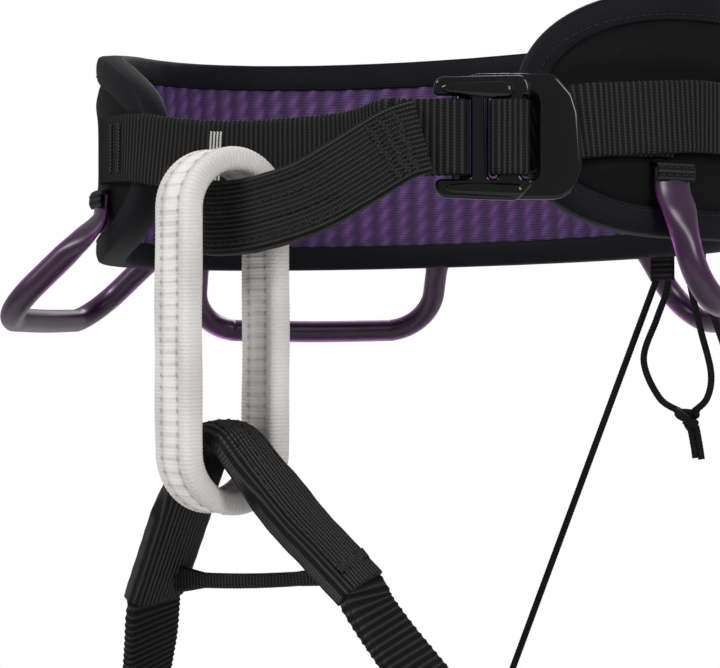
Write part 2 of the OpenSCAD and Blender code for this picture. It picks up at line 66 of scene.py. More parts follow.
# ---- the harness's measures, as in the CAD
BELT = dict(a=133, b=110, start=45, end=338, half=41, t=9, tip=38, lean=3, rise=0.15, slant=(58, 1.0, 0.85))
LEG = dict(a=80, b=92, start=58, end=330, half=30, t=8, tip=34, lean=0, rise=0)
WAIST_BUCKLE = (40, 10, -9)
LEG_BUCKLE = (52, 11, 0)
WEB_W, WEB_T = 25.0, 2.1
PLATE_X = (-18, -10.5, -5.8, 0.2, 3.1, 11.1, 14.5)
PLATE_H, PLATE_T, BAR_R = 41.0, 3.6, 1.8
FRAME_X, FRAME_W, FRAME_H, FRAME_T = 9.5, 43.0, 42.0, 4.0
PLATE_LEFT = PLATE_X[1]
PLATE_Y = -PLATE_T / 2 - WEB_T - 0.8
FOLD_R = BAR_R + 0.4 + WEB_T / 2
BELAY_AT, BELAY_YAW, BELAY_LEN, BELAY_OUT, BELAY_W, BELAY_T = (11.5, -134, -71), -17, 124, 42, 21, 8
LOW_AT, LOW_ROLL, LOW_YAW = np.array([12, -118, -159.7]), -4.8, -8
LEG_AT, LEG_PITCH, LEG_ROLL = np.array([90, 96, -108]), -11, -13
GEAR = dict(left_front=(72, 117, 14, 37), left_rear=(125, 167, 34, 48),
            right_front=(263, 321, 47, 52), right_rear=(206, 256, 32, 47))
GEAR_Z, GEAR_OFF = -28.5, 5.4
RISER_AT = (149.5, 158.5)
LEG_TAB = (152, 186)
TAB_LOW = -50
STRAND_OFF, TAIL_OFF, LEG_TAIL_OFF = 2.9, 5.3, 5.7


def arr(*v):
    return np.array(v, float)


def columns(*values):
    return np.stack(values, -1)


UP = arr(0, 0, 1)


def unit(v):
    v = np.asarray(v, float)
    return v / norm(v, axis=-1, keepdims=True)


def turn(p, axis, deg):
    """p turned about a coordinate axis by the right-hand rule."""
    c, s = np.cos(np.radians(deg)), np.sin(np.radians(deg))
    j, k = (axis + 1) % 3, (axis + 2) % 3
    q = np.array(p, float)
    pj, pk = q[..., j].copy(), q[..., k].copy()
    q[..., j], q[..., k] = c * pj - s * pk, s * pj + c * pk
    return q


def ring_normal(g, th):
    t = np.radians(np.asarray(th, float))
    return unit(columns(np.sin(t) / g["a"], -np.cos(t) / g["b"], 0 * t))


def sideways(n):
    """Level, and square to a ring's normal: the way round the ring."""
    return arr(-n[1], n[0], 0)


def ring_point(g, th, z=0.0, off=0.0):
    th, z, off = (np.asarray(v, float) for v in np.broadcast_arrays(th, z, off))
    t = np.radians(th)
    up = np.where(z > 0, z * (1 + g["rise"] * (1 - np.cos(t)) / 2), z) + g["lean"] * np.sin(t)
    return columns(g["a"] * np.sin(t), -g["b"] * np.cos(t), up) + off[..., None] * ring_normal(g, th)


def buckle_point(g, at, x, y, z=0.0):
    n = ring_normal(g, at[0])
    x, y, z = (np.asarray(v, float) for v in np.broadcast_arrays(x, y, z))
    middle = ring_point(g, at[0], 0, at[1])
    return middle + sideways(n) * x[..., None] - n * y[..., None] + UP * (at[2] + z[..., None])


def buckle_points(g, at, rows):
    return [buckle_point(g, at, *row) for row in rows]


def low_point(p):
    return LOW_AT + turn(turn(p, 1, LOW_ROLL), 2, LOW_YAW)


def leg_world(side):
    """Turns points of a leg loop's own frame into the harness's frame."""
    def place(p):
        q = LEG_AT + turn(turn(p, 0, LEG_PITCH), 1, LEG_ROLL)
        return low_point(q * arr(side, 1, 1))
    return place


def to_leg(p):
    return turn(turn(np.asarray(p, float) - LEG_AT, 1, -LEG_ROLL), 0, -LEG_PITCH)


def leg_dir(v):
    return turn(turn(np.asarray(v, float), 1, -LEG_ROLL), 0, -LEG_PITCH)


def same(p):
    return p


# ---- curves and sweeps
def smooth_curve(points, per=16):
    """Catmull-Rom through points of any width."""
    p = np.asarray(points, float)
    n = len(p) - 1
    u = np.linspace(0, n, n * per + 1)
    i = np.minimum(u.astype(int), n - 1)
    f = (u - i)[:, None]
    a, b, c, d = p[np.maximum(i - 1, 0)], p[i], p[i + 1], p[np.minimum(i + 2, n)]
    return 0.5 * (2 * b + (c - a) * f + (2 * a - 5 * b + 4 * c - d) * f**2 + (3 * b - a - 3 * c + d) * f**3)


def even(path, gap, *extras):
    """The path's points again at an even gap, with the values that go with them, and the length so far."""
    step = norm(np.diff(path, axis=0), axis=1)
    s = join([[0], np.cumsum(step)])
    n = max(int(round(s[-1] / gap)), 2)
    t = np.linspace(0, s[-1], n + 1)
    out = [np.stack([np.interp(t, s, v[:, k]) for k in range(v.shape[1])], -1) for v in (path, *extras)]
    return (*out, t)


def tangents(path, closed=False):
    if closed:
        return unit(np.roll(path, -1, 0) - np.roll(path, 1, 0))
    return unit(np.gradient(path, axis=0))


def frames(path, ups, closed=False):
    t = tangents(path, closed)
    u = unit(ups - (ups * t).sum(-1, keepdims=True) * t)
    return t, u, np.cross(t, u)


def flat_profile(w, t, n=11, round_n=4, crown=0.0):
    """Outline of flat webbing: x across, y through, with round edges."""
    r = t / 2
    x = np.linspace(-w / 2 + r, w / 2 - r, n)
    bulge = crown * (1 - (2 * x / w) ** 2)
    a = np.linspace(PI / 2, -PI / 2, round_n + 2)[1:-1]
    right = columns(w / 2 - r + r * np.cos(a), r * np.sin(a))
    top = columns(x, r + bulge)
    low = columns(x[::-1], -r - bulge[::-1])
    return join([top, right, low, -right])


def round_profile(r, n=14):
    a = np.linspace(0, 2 * PI, n, endpoint=False)
    return columns(r * np.cos(a), r * np.sin(a))


def profile_normals(q):
    d = np.roll(q, -1, 0) - np.roll(q, 1, 0)
    return unit(columns(-d[:, 1], d[:, 0])) * -1


def tube_faces(rows, cols, wrap_rows=False):
    i = np.arange(rows if wrap_rows else rows - 1)[:, None] * cols
    j = np.arange(cols)[None, :]
    a, b = i + j, i + (j + 1) % cols
    c, d = (b + cols) % (rows * cols), (a + cols) % (rows * cols)
    return columns(a, b, c, d).reshape(-1, 4).tolist()


def grid_faces(rows, cols, first=0):
    a = (np.arange(rows - 1)[:, None] * cols + np.arange(cols - 1)[None, :]).ravel() + first
    return columns(a, a + 1, a + cols + 1, a + cols).tolist()


class Shape:
    """Vertices in mm, faces, and for each vertex its place in the cloth (across, along, through), in mm."""

    def __init__(self):
        self.v, self.f, self.c, self.n = [], [], [], 0

    def add(self, verts, faces, cloth=None):
        verts = np.asarray(verts, float).reshape(-1, 3)
        self.f += [[i + self.n for i in f] for f in faces]
        self.v.append(verts)
        self.c.append(verts * 0 if cloth is None else np.asarray(cloth, float).reshape(-1, 3))
        self.n += len(verts)
        return self

    def sweep(self, path, ups, profile, s=None, width=None, thick=None, bump=None, closed=False):
        t, u, n = frames(path, ups, closed)
        if s is None:
            s = join([[0], np.cumsum(norm(np.diff(path, axis=0), axis=1))])
        rows, cols = len(path), len(profile)
        x = profile[None, :, 0] * (np.ones(rows) if width is None else width)[:, None]
        y = profile[None, :, 1] * (np.ones(rows) if thick is None else thick)[:, None]
        if bump is not None:
            pn = profile_normals(profile)
            d = bump(s[:, None], x, y)
            x, y = x + d * pn[None, :, 0], y + d * pn[None, :, 1]
        p = path[:, None] + u[:, None] * x[..., None] + n[:, None] * y[..., None]
        faces = tube_faces(rows, cols, closed)
        if not closed:
            faces += [list(range(cols))[::-1], [(rows - 1) * cols + k for k in range(cols)]]
        cloth = columns(x, np.broadcast_to(s[:, None], x.shape), y)
        return self.add(p, faces, cloth)


def add_object(name, data):
    obj = bpy.data.objects.new(name, data)
    scene.collection.objects.link(obj)
    return obj


def make(name, shape, material, body, nodes=(), place=same, blend=None):
    """A piece from a shape: placed, given its material, and tied to a CAD body, or left unparented in place when blend
    is given; the CAD parts it stands for are hidden.
    """
    verts = place(join(shape.v)) * MM
    mesh = bpy.data.meshes.new(name)
    mesh.from_pydata(verts.tolist(), [], shape.f)
    cloth = mesh.attributes.new("cloth", "FLOAT_VECTOR", "POINT")
    cloth.data.foreach_set("vector", join(shape.c).astype(np.float32).ravel())
    bm = bmesh.new()
    bm.from_mesh(mesh)
    bmesh.ops.recalc_face_normals(bm, faces=bm.faces)
    bm.to_mesh(mesh)
    bm.free()
    mesh.polygons.foreach_set("use_smooth", [True] * len(mesh.polygons))
    mesh.materials.append(material)
    obj = add_object(name, mesh)
    if blend:
        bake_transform(obj)
    else:
        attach(obj, body)
    if nodes:
        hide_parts(*nodes)
    return obj


def ribs(pitch, amp):
    """Cross ribs of webbing, as geometry."""
    def bump(s, x, y):
        return amp * (np.abs(np.sin(PI * s / pitch)) ** 0.8 - 0.7)
    return bump


def lengthwise(pitch, amp):
    """Lengthwise ribs of a woven sleeve, as geometry."""
    def bump(s, x, y):
        return amp * np.cos(2 * PI * x / pitch) + 0.05 * np.sin(2 * PI * s / 9 + x)
    return bump


# ---- materials
class Nodes:
    """A short way to write a material's node tree."""

    def __init__(self, name, **base):
        self.material = bpy.data.materials.new(name)
        self.material.use_nodes = True
        self.tree = self.material.node_tree
        self.shader = self.tree.nodes["Principled BSDF"]
        for key, value in base.items():
            socket = self.shader.inputs[key.replace("_", " ")]
            socket.default_value = (*value, 1) if isinstance(value, tuple) and len(value) == 3 else value

    def put(self, socket, value):
        if isinstance(value, bpy.types.NodeSocket):
            self.tree.links.new(value, socket)
        else:
            socket.default_value = value

    def node(self, kind, out=0, inputs=(), **props):
        node = self.tree.nodes.new("ShaderNode" + kind)
        for key, value in props.items():
            setattr(node, key, value)
        for key, value in dict(inputs).items():
            self.put(node.inputs[key], value)
        return node.outputs[out]

    def math(self, op, *values, clamp=False):
        return self.node("Math", inputs=dict(enumerate(values)), operation=op, use_clamp=clamp)

    def times(self, a, b):
        return self.math("MULTIPLY", a, b)

    def plus(self, a, b):
        return self.math("ADD", a, b)

    def scaled(self, value, factor, offset, clamp=False):
        return self.math("MULTIPLY_ADD", value, factor, offset, clamp=clamp)

    def cloth(self):
        at = self.node("Attribute", "Vector", attribute_name="cloth")
        split = self.node("SeparateXYZ", inputs={0: at}).node
        return at, split.outputs[0], split.outputs[1], split.outputs[2]

    def place(self, scale):
        at = self.node("TexCoord", "Object")
        return self.node("Mapping", inputs={"Vector": at, "Scale": (scale,) * 3})

    def noise(self, vector, scale, detail=3.0, rough=0.55):
        return self.node("TexNoise", 0, {"Vector": vector, "Scale": scale, "Detail": detail, "Roughness": rough})

    def wave(self, value, pitch, phase=0.0):
        """0 to 1, once a pitch."""
        angle = self.scaled(value, 2 * PI / pitch, phase)
        return self.scaled(self.math("SINE", angle), 0.5, 0.5)

    def mix(self, fac, a, b):
        node = self.tree.nodes.new("ShaderNodeMix")
        node.data_type = "RGBA"
        self.put(node.inputs["Factor"], fac)
        for socket, value in ((node.inputs[6], a), (node.inputs[7], b)):
            self.put(socket, (*value, 1) if isinstance(value, tuple) else value)
        return node.outputs[2]

    def finish(self, color=None, rough=None, height=None, distance=0.0002, strength=1.0):
        if color is not None:
            self.put(self.shader.inputs["Base Color"], color)
        if rough is not None:
            self.put(self.shader.inputs["Roughness"], rough)
        if height is not None:
            bump = self.node("Bump", "Normal", {"Height": height, "Distance": distance, "Strength": strength})
            self.put(self.shader.inputs["Normal"], bump)
        return self.material


def webbing_material(name, dark, light, pitch, thread=1.0, slant=0.55, distance=0.0002, lengthwise=False):
    """Woven tape, with ribs that run across it, or along it when lengthwise, and a painted highlight on the ribs'
    crests.
    """
    m = Nodes(name, Sheen_Weight=0.006, Sheen_Roughness=0.5, Specular_IOR_Level=0.16)
    at, x, y, _ = m.cloth()
    if lengthwise:
        rib = m.wave(x, pitch)
        threads = m.wave(m.plus(m.times(x, slant), y), thread)
    else:
        rib = m.wave(y, pitch, -PI / 2)
        threads = m.wave(m.plus(m.times(y, slant), x), thread)
    fuzz = m.noise(at, 1.6, 4.0, 0.7)
    broad = m.noise(m.place(22.0), 1.0, 2.0)
    height = m.plus(m.times(rib, 0.45), m.times(threads, 0.4))
    height = m.plus(height, m.times(fuzz, 0.35))
    # painted highlight: the rib crests take the light colour, patchy with noise
    crest = m.times(m.math("POWER", rib, 3.0), m.scaled(threads, 0.75, 0.25))
    crest_highlight = m.times(m.plus(m.times(fuzz, 0.8), m.times(broad, 0.6)), crest)
    color = m.mix(crest_highlight, dark, light)
    return m.finish(color, m.scaled(fuzz, 0.3, 0.5), height, distance)


def pale_webbing_material():
    """Off-white tape, with painted shade: greyer in the dips between its ribs and at its sunk stitches."""
    m = Nodes("pale_ribbed_webbing", Sheen_Weight=0.05, Sheen_Roughness=0.5, Specular_IOR_Level=0.25)
    at, x, y, z = m.cloth()
    threads = m.wave(m.plus(x, m.times(y, 0.35)), 0.85)
    fuzz = m.noise(at, 1.4, 4.0, 0.7)
    # painted shade: the lower the surface (the bump height kept in the cloth's third value), the greyer the colour
    level = m.scaled(z, 1.1, 0.62, clamp=True)
    tone = m.times(level, m.scaled(fuzz, 0.35, 0.8))
    color = m.mix(tone, (0.42, 0.4, 0.385), (0.86, 0.835, 0.82))
    height = m.plus(m.times(threads, 0.5), m.times(fuzz, 0.5))
    return m.finish(color, m.scaled(fuzz, 0.2, 0.55), height, 0.00012)


def shell_material(name, dark, light, weave):
    m = Nodes(name, Sheen_Weight=0.004, Sheen_Roughness=0.4, Specular_IOR_Level=0.12)
    at, x, y, _ = m.cloth()
    grain = m.times(m.wave(x, weave), m.wave(y, weave))
    fuzz = m.noise(at, 0.9, 4.0, 0.6)
    broad = m.noise(m.place(14.0), 1.0, 3.0)
    shade = m.plus(m.times(grain, 0.4), m.times(broad, 0.6))
    height = m.plus(m.times(grain, 0.5), m.times(fuzz, 0.5))
    return m.finish(m.mix(shade, dark, light), m.scaled(fuzz, 0.2, 0.6), height, 0.00015)


def lining_material():
    m = Nodes("purple_spacer_mesh", Sheen_Weight=0.03, Sheen_Roughness=0.4, Specular_IOR_Level=0.3)
    at, x, y, z = m.cloth()
    rows = m.wave(y, 1.05)
    loops = m.wave(m.plus(x, m.times(y, 0.5)), 1.3)
    fuzz = m.noise(at, 0.8, 4.0, 0.6)
    height = m.plus(m.times(rows, 0.5), m.times(loops, 0.3))
    height = m.plus(height, m.times(fuzz, 0.3))
    # painted light and shade: the raised bumps take the lighter purple and the hollows between them the darker
    raised = m.math("MULTIPLY", m.plus(z, m.times(height, 0.5)), 0.6, clamp=True)
    color = m.mix(raised, (0.012, 0.004, 0.024), (0.125, 0.052, 0.2))
    return m.finish(color, m.scaled(fuzz, 0.25, 0.5), height, 0.0003)


def metal_material():
    m = Nodes("black_anodised", Metallic=0.0, Specular_IOR_Level=0.24, Coat_Weight=0.2, Coat_Roughness=0.05)
    scratch = m.noise(m.place(900.0), 1.0, 4.0, 0.7)
    broad = m.noise(m.place(60.0), 1.0, 3.0)
    color = m.mix(broad, (0.0012, 0.0012, 0.0014), (0.004, 0.004, 0.0046))
    return m.finish(color, m.scaled(broad, 0.1, 0.1), scratch, 0.00001, 0.4)


def tube_material():
    m = Nodes("violet_tube", Transmission_Weight=0.94, IOR=1.4, Coat_Weight=0.5, Coat_Roughness=0.3)
    at = m.cloth()[0]
    cloud = m.noise(at, 0.25, 3.0)
    color = m.mix(cloud, (0.32, 0.02, 0.38), (0.5, 0.05, 0.56))
    return m.finish(color, m.scaled(cloud, 0.15, 0.26), m.noise(at, 2.0), 0.00003, 0.5)


def cord_material(name, dark, light):
    m = Nodes(name, Sheen_Weight=0.005, Specular_IOR_Level=0.15)
    at, x, y, _ = m.cloth()
    one = m.wave(m.plus(y, m.times(x, 1.2)), 1.5)
    two = m.wave(m.math("SUBTRACT", y, m.times(x, 1.2)), 1.5)
    height = m.math("MAXIMUM", one, two)
    fuzz = m.noise(at, 2.0, 3.0)
    color = m.mix(m.times(height, fuzz), dark, light)
    return m.finish(color, m.scaled(fuzz, 0.2, 0.55), height, 0.00015)


# the second colour of each woven tape below is its painted highlight on the rib crests
WEBBING = webbing_material("black_ribbed_webbing", (0.0012, 0.0012, 0.0013), (0.06, 0.06, 0.063), 2.2)
SLEEVE = webbing_material("black_woven_sleeve", (0.001, 0.001, 0.0011), (0.075, 0.075, 0.08), 1.6, 0.9, 0.2,
                          lengthwise=True)
BELAY = pale_webbing_material()
SHELL = shell_material("black_shell_fabric", (0.0008, 0.0008, 0.001), (0.005, 0.005, 0.0056), 0.8)
BINDING = webbing_material("navy_knit_binding", (0.0016, 0.0016, 0.0032), (0.0085, 0.0085, 0.0145), 1.0, 0.8, 0.8,
                           0.0001, lengthwise=True)
LINING = lining_material()
METAL = metal_material()
TUBE = tube_material()
CORD = cord_material("black_braided_cord", (0.0008, 0.0008, 0.0008), (0.009, 0.009, 0.0095))
THREAD = cord_material("black_stitching", (0.004, 0.004, 0.0045), (0.06, 0.06, 0.064))
PALE_THREAD = cord_material("pale_stitching", (0.6, 0.59, 0.57), (0.9, 0.89, 0.87))

# ---- camera and cords first
camera_data = bpy.data.cameras.new("camera")
camera = add_object("camera", camera_data)
scene.camera = camera
camera_data.sensor_width = 36.0
camera_data.lens = 116.1
camera.location = (0.5104, -0.7416, -0.072)
look = Vector((-0.0186, -0.0135, -0.072)) - camera.location
camera.rotation_euler = look.to_track_quat("-Z", "Y").to_euler()

CORD_R = 1.4


def cord_ups(path):
    t = tangents(path)
    ups = [unit(np.cross(t[0], arr(0.3, 1, 0.2)))]
    for along in t[1:]:
        ups.append(unit(ups[-1] - along * (ups[-1] @ along)))
    return np.array(ups)


def cord_shape(path, r, gap=0.7, waves=0.0, shape=None):
    path, s = even(path, gap)
    bump = (lambda s, x, y: waves * np.sin(2 * PI * (s / 1.5 + np.arctan2(y, x) / PI))) if waves else None
    return (shape or Shape()).sweep(path, cord_ups(path), round_profile(r, 12), s, bump=bump)


def riser_top(k, x):
    n = ring_normal(BELT, RISER_AT[k])
    return ring_point(BELT, RISER_AT[k], TAB_LOW - 0.7, 2.2) + sideways(n) * x


knot_at = arr(62, 102, -106)
anchor_a, anchor_b = riser_top(1, -3.5), riser_top(0, 3.5)
adjuster_routes = [
    [anchor_a, anchor_a + arr(-1.5, 0.8, -6), (46.5, 105, -66), (41, 104, -82.6), (49, 102.5, -98),
     knot_at + arr(-3.4, 0, 2.6)],
    [anchor_b, anchor_b + arr(0.5, 1, -6), (68, 102.5, -70), (72.5, 103, -87.5), (71, 102.5, -98),
     knot_at + arr(3.4, 0, 2.6)]]


def knot_shape():
    """A flat overhand knot: two cords laid side by side, one turn round them, and two tails pressed together."""
    shape = Shape()
    coil = np.linspace(-0.2, 2.7 * PI, 60)
    wrap = columns(4.0 * np.cos(coil), 2.4 * np.sin(coil), 1.9 * np.sin(coil * 0.5 + 0.9))
    over = arr([-4.5, 0, 2.8], [-2.2, -2.3, 1.8], [0.8, -2.9, 0], [3.2, -1.6, -2.4], [4.2, 0, -4.5])
    back = arr([4.5, 0, 2.8], [2.4, 1.8, 1.6], [-0.6, 2.0, -0.6], [0.2, 0.4, -3.0], [1.9, 0.4, -5])
    for strand in (turn(wrap, 1, 8), smooth_curve(over, 10), smooth_curve(back, 10)):
        cord_shape(knot_at + strand, 1.5, 0.5, shape=shape)
    for x, y, length in ((4.0, 0.4, 13.5), (1.7, -0.4, 13)):
        t = np.linspace(0, 1, 12)[:, None]
        tail = knot_at + arr(x, y, -3.4) + t * arr(3.2, 0, -length) + t**2 * arr(-0.8, 0.3, 0)
        cord_shape(tail, CORD_R, 0.6, waves=0.05, shape=shape)
    return shape


knot = make("adjuster_overhand_knot", knot_shape(), CORD, "waist", ["adjuster_knot"])
for name, route in zip(("adjuster_cord_right", "adjuster_cord_left"), adjuster_routes):
    line = smooth_curve(route, 12)
    piece = make(name, cord_shape(line, CORD_R, waves=0.06), CORD, "waist", ["adjuster_loop"])
    length = float(even(line, 0.7)[1][-1]) * MM


# ---- padded rings: belt and leg loops
def tip_angle(g, a, last=False):
    """How far from the pad's end its edge is; the last end's upper corner may be cut on a slant."""
    plain = g["tip"] * (1 - np.abs(np.cos(np.radians(a))) ** (2 / 3))
    if not last or "slant" not in g:
        return plain
    reach, power, _ = g["slant"]
    return np.where(np.asarray(a) > 0, reach * (1 - np.abs(np.cos(np.radians(a))) ** power), plain)


def tip_half(g, a, last=False):
    a = np.asarray(a, float)
    power = np.where(a > 0, g["slant"][2], 0.8) if last and "slant" in g else 0.8
    return g["half"] * np.abs(np.sin(np.radians(a))) ** power


def pad_columns(g, step):
    """Angles along the pad, and the heights of the lower and the upper edge at each."""
    a = join([[2, 5], np.arange(9, 90, 4)])
    mid = np.arange(g["start"] + g["tip"], g["end"] - g["tip"] + 0.01, step)
    th = join([g["start"] + tip_angle(g, a), mid, g["end"] - tip_angle(g, a[::-1])])
    low = join([tip_half(g, a), np.full(len(mid), g["half"]), tip_half(g, a[::-1])])
    fine = np.arange(0, 90.5, 1.5)
    high = np.interp(th, g["end"] - tip_angle(g, fine, True)[::-1], tip_half(g, fine, True)[::-1])
    high = np.where(th < g["end"] - g["tip"] - 30, g["half"], high)
    return th, low, np.where(th < 150, np.minimum(high, low), high)


def along(g, th):
    """Length along the pad's middle line, in mm."""
    fine = np.linspace(g["start"] - 5, g["end"] + 5, 1500)
    p = ring_point(g, fine)
    s = join([[0], np.cumsum(norm(np.diff(p, axis=0), axis=1))])
    return np.interp(th, fine, s)


def ripple(s, z, k=1.0):
    return k * (0.5 * np.sin(s / 17 + z / 23) + 0.3 * np.sin(s / 7.3 - z / 11 + 1.3) + 0.2 * np.sin(s / 3.9 + z / 5.1))


def pad_surface(g, step, rows, offset, inset):
    th, low, high = pad_columns(g, step)
    v = np.linspace(-1, 1, rows)
    half = np.where(v[None, :] > 0, high[:, None], low[:, None])
    z = (half - inset).clip(0.6) * np.sign(v) * np.abs(v) ** 0.9
    s = np.broadcast_to(along(g, th)[:, None], z.shape)
    to_edge = np.minimum(half - np.abs(z), np.minimum(s - s[0, 0], s[-1, 0] - s) + 2).clip(0)
    off, height = offset(s, z, to_edge)
    return ring_point(g, th[:, None], z, off), columns(s, z, height)


def closed_pad(g, step, rows, outer, inner, inset):
    shape = Shape()
    p, c = pad_surface(g, step, rows, outer, inset)
    q, d = pad_surface(g, step, rows, inner, inset)
    n, m = p.shape[:2]
    shape.add(join([p, q]), grid_faces(n, m) + grid_faces(n, m, n * m), join([c, d]))
    ring = [i * m for i in range(n)] + [(n - 1) * m + j for j in range(1, m)]
    ring += [i * m + m - 1 for i in range(n - 2, -1, -1)] + [j for j in range(m - 2, 0, -1)]
    shape.f += [[a, b, b + n * m, a + n * m] for a, b in zip(ring, ring[1:] + ring[:1])]
    return shape


def away(e, start, reach):
    """0 at start from the edge, growing to 1 over the reach."""
    return 1 - np.exp(-((e - start).clip(0)) / reach)


def hump(x, reach):
    return np.exp(-((x / reach) ** 2))


def outer_face(ridge):
    """The padded outer face: crowned inside the binding, pressed in where webbing lies on it."""
    def offset(s, z, e):
        crown = away(e, 7, 5) - 0.6 * np.exp(-e / 4)
        shoulder = ridge * hump(np.abs(z) - 20, 5.5) * away(e, 9, 6)
        seam = -0.35 * hump(e - 9.6, 1.1)
        off = crown + shoulder + seam + ripple(s, z, 0.16) * (1 - np.exp(-e / 8)) - 0.5
        return off, off
    return offset


def back_face(depth):
    def offset(s, z, e):
        return np.full(z.shape, -depth), np.zeros(z.shape)
    return offset


def mesh_face(t):
    """Spacer mesh: upright ribs of slanting raised bumps."""
    def offset(s, z, e):
        u = s / 8.6
        col = np.floor(u)
        fu = u - col - 0.5
        zz = z / 6.2 + 1.15 * fu + 0.5 * (col % 2)
        fz = zz - np.floor(zz) - 0.5
        bump = hump(fu, 0.3) * (0.35 + 0.65 * hump(fz, 0.3)) * away(e, 5, 4)
        # the second value is the bump height, which the lining's material paints lighter on the bumps and darker in
        # the hollows
        return -t + 0.45 - 1.6 * bump - ripple(s, z, 0.15), 1.7 * bump
    return offset


def edge_path(g):
    a = np.arange(-88, 89, 4.0)
    mid = np.arange(g["start"] + g["tip"], g["end"] - g["tip"] + 0.01, 1.0)
    sign = np.sign(a)
    first = columns(g["start"] + tip_angle(g, a), sign * tip_half(g, a))
    last = columns(g["end"] - tip_angle(g, a[::-1], True), sign[::-1] * tip_half(g, a[::-1], True))
    high = mid[mid < last[0, 0] - 0.5]
    top = columns(high, np.full(len(high), g["half"]))
    low = columns(mid[::-1], np.full(len(mid), -g["half"]))
    return join([first, top, last, low])


def binding_shape(g):
    q = edge_path(g)
    speed = norm(columns(g["a"] * np.cos(np.radians(q[:, 0])), g["b"] * np.sin(np.radians(q[:, 0]))),
                           axis=1) * PI / 180
    d = np.roll(q, -1, 0) - np.roll(q, 1, 0)
    flat = columns(d[:, 0] * speed, d[:, 1])
    t = unit(flat)
    for _ in range(3):
        t = unit(np.roll(t, 1, 0) + 2 * t + np.roll(t, -1, 0))
    inward = columns(t[:, 1] / speed, -t[:, 0])
    w, deep = 9.0, -g["t"]
    section = arr([w, 0.1], [w + 0.1, 0.5], [w - 0.5, 0.85], [w - 1.6, 1.0], [w * 0.6, 1.3], [w * 0.3, 1.3], [1, 1.0],
                  [-0.3, 0.5], [-0.8, -0.6], [-1.0, deep / 2], [-0.8, deep + 0.6], [-0.3, deep - 0.5],
                  [1, deep - 0.9], [w * 0.35, deep - 1.2], [w * 0.7, deep - 1.1], [w - 0.6, deep - 0.85],
                  [w, deep - 0.4], [w - 0.5, deep + 0.3], [w * 0.5, deep + 0.4], [0.6, deep / 2], [w * 0.5, -0.3])
    s = np.cumsum(norm(flat, axis=1) / 2)
    a, b = np.broadcast_arrays(section[None, :, 0], s[:, None])
    off = section[None, :, 1] + 0.16 * np.sin(b / 2.9) * np.sin(b / 11.3) + 0.1 * np.sin(b / 5.3 + a / 3)
    p = ring_point(g, q[:, None, 0] + inward[:, None, 0] * a, q[:, None, 1] + inward[:, None, 1] * a, off)
    return Shape().add(p, tube_faces(len(q), len(section), True), columns(a, b, off))


def stitch(shape, p, t, u, n, length=2.3, r=0.28):
    """One thread stitch: a low rounded bead, lying along t."""
    k = np.linspace(-1, 1, 6)
    line = p + np.outer(k * length / 2, t) + np.outer(0.22 * (1 - k**2), n)
    size = np.sqrt(np.clip(1 - k**2, 0.12, 1))
    shape.sweep(line, u, round_profile(r, 6), None, size, size)


def stitch_row(shape, path, ups, x, y, gap=3.2, length=2.3, start=0.0, end=None, r=0.28, width=((0, 1), (1, 1))):
    path, ups, s = even(path, 0.6, ups)
    side = x * np.interp(s / s[-1], *width)
    t, u, n = frames(path, ups)
    end = s[-1] if end is None else end
    for at in np.arange(start + gap / 2, end - gap / 2, gap):
        i = int(np.searchsorted(s, at))
        stitch(shape, path[i] + u[i] * side[i] + n[i] * y, t[i], u[i], n[i], length, r)


def bar_tack(shape, path, ups, at, y, width=18.0, deep=3.0, turns=14, r=0.3):
    """A dense zigzag of thread across the strap."""
    path, ups, s = even(path, 0.5, ups)
    t, u, n = frames(path, ups)
    i = int(np.clip(np.searchsorted(s, at), 1, len(s) - 2))
    k = np.arange(2 * turns + 1)
    across = np.linspace(-width / 2, width / 2, len(k))
    line = path[i] + np.outer(across, u[i]) + np.outer(np.where(k % 2, deep / 2, -deep / 2), t[i]) + n[i] * (y + 0.1)
    line = smooth_curve(line, 3)
    shape.sweep(line, n[i], round_profile(r, 6))


def edge_stitches(g, off, inset, gap=3.0):
    """A row of stitches just inside the binding's edge, all round the pad."""
    q = edge_path(g)
    q = join([q, q[:1]])
    to_middle = np.sign(0.5 * (g["start"] + g["end"]) - q[:, 0])
    th = q[:, 0] + to_middle * np.clip(1 - np.abs(q[:, 1]) / g["half"], 0, 1) * inset / 2.2
    z = q[:, 1] * (g["half"] - inset) / g["half"]
    p = ring_point(g, th, z, off)
    n = ring_normal(g, th)
    pn, nn, s = even(p, 0.8, n)
    shape = Shape()
    t = tangents(pn)
    for at in np.arange(0, s[-1], gap):
        i = int(np.searchsorted(s, at))
        stitch(shape, pn[i], t[i], unit(np.cross(nn[i], t[i])), nn[i], 2.0, 0.22)
    return shape


def build_pad(prefix, g, body, place, shell_nodes, lining_node, binding_node, ridge, step):
    outer = closed_pad(g, step, 61, outer_face(ridge), back_face(g["t"] - 1.5), 0.5)
    pad = make(prefix + "_padded_shell", outer, SHELL, body, shell_nodes, place)
    inner = closed_pad(g, step * 0.6, 75, back_face(g["t"] - 1.4), mesh_face(g["t"]), 0.5)
    make(prefix + "_spacer_mesh", inner, LINING, body, [lining_node], place)
    make(prefix + "_edge_binding", binding_shape(g), BINDING, body, [binding_node], place)
    make(prefix + "_binding_stitches", edge_stitches(g, 1.15, 7.4), THREAD, body, (), place)


build_pad("waist", BELT, "waist", same, ["waist_shell", "waist_foam", "waist_webbing_core"], "waist_lining",
          "waist_binding", 1.3, 0.9)


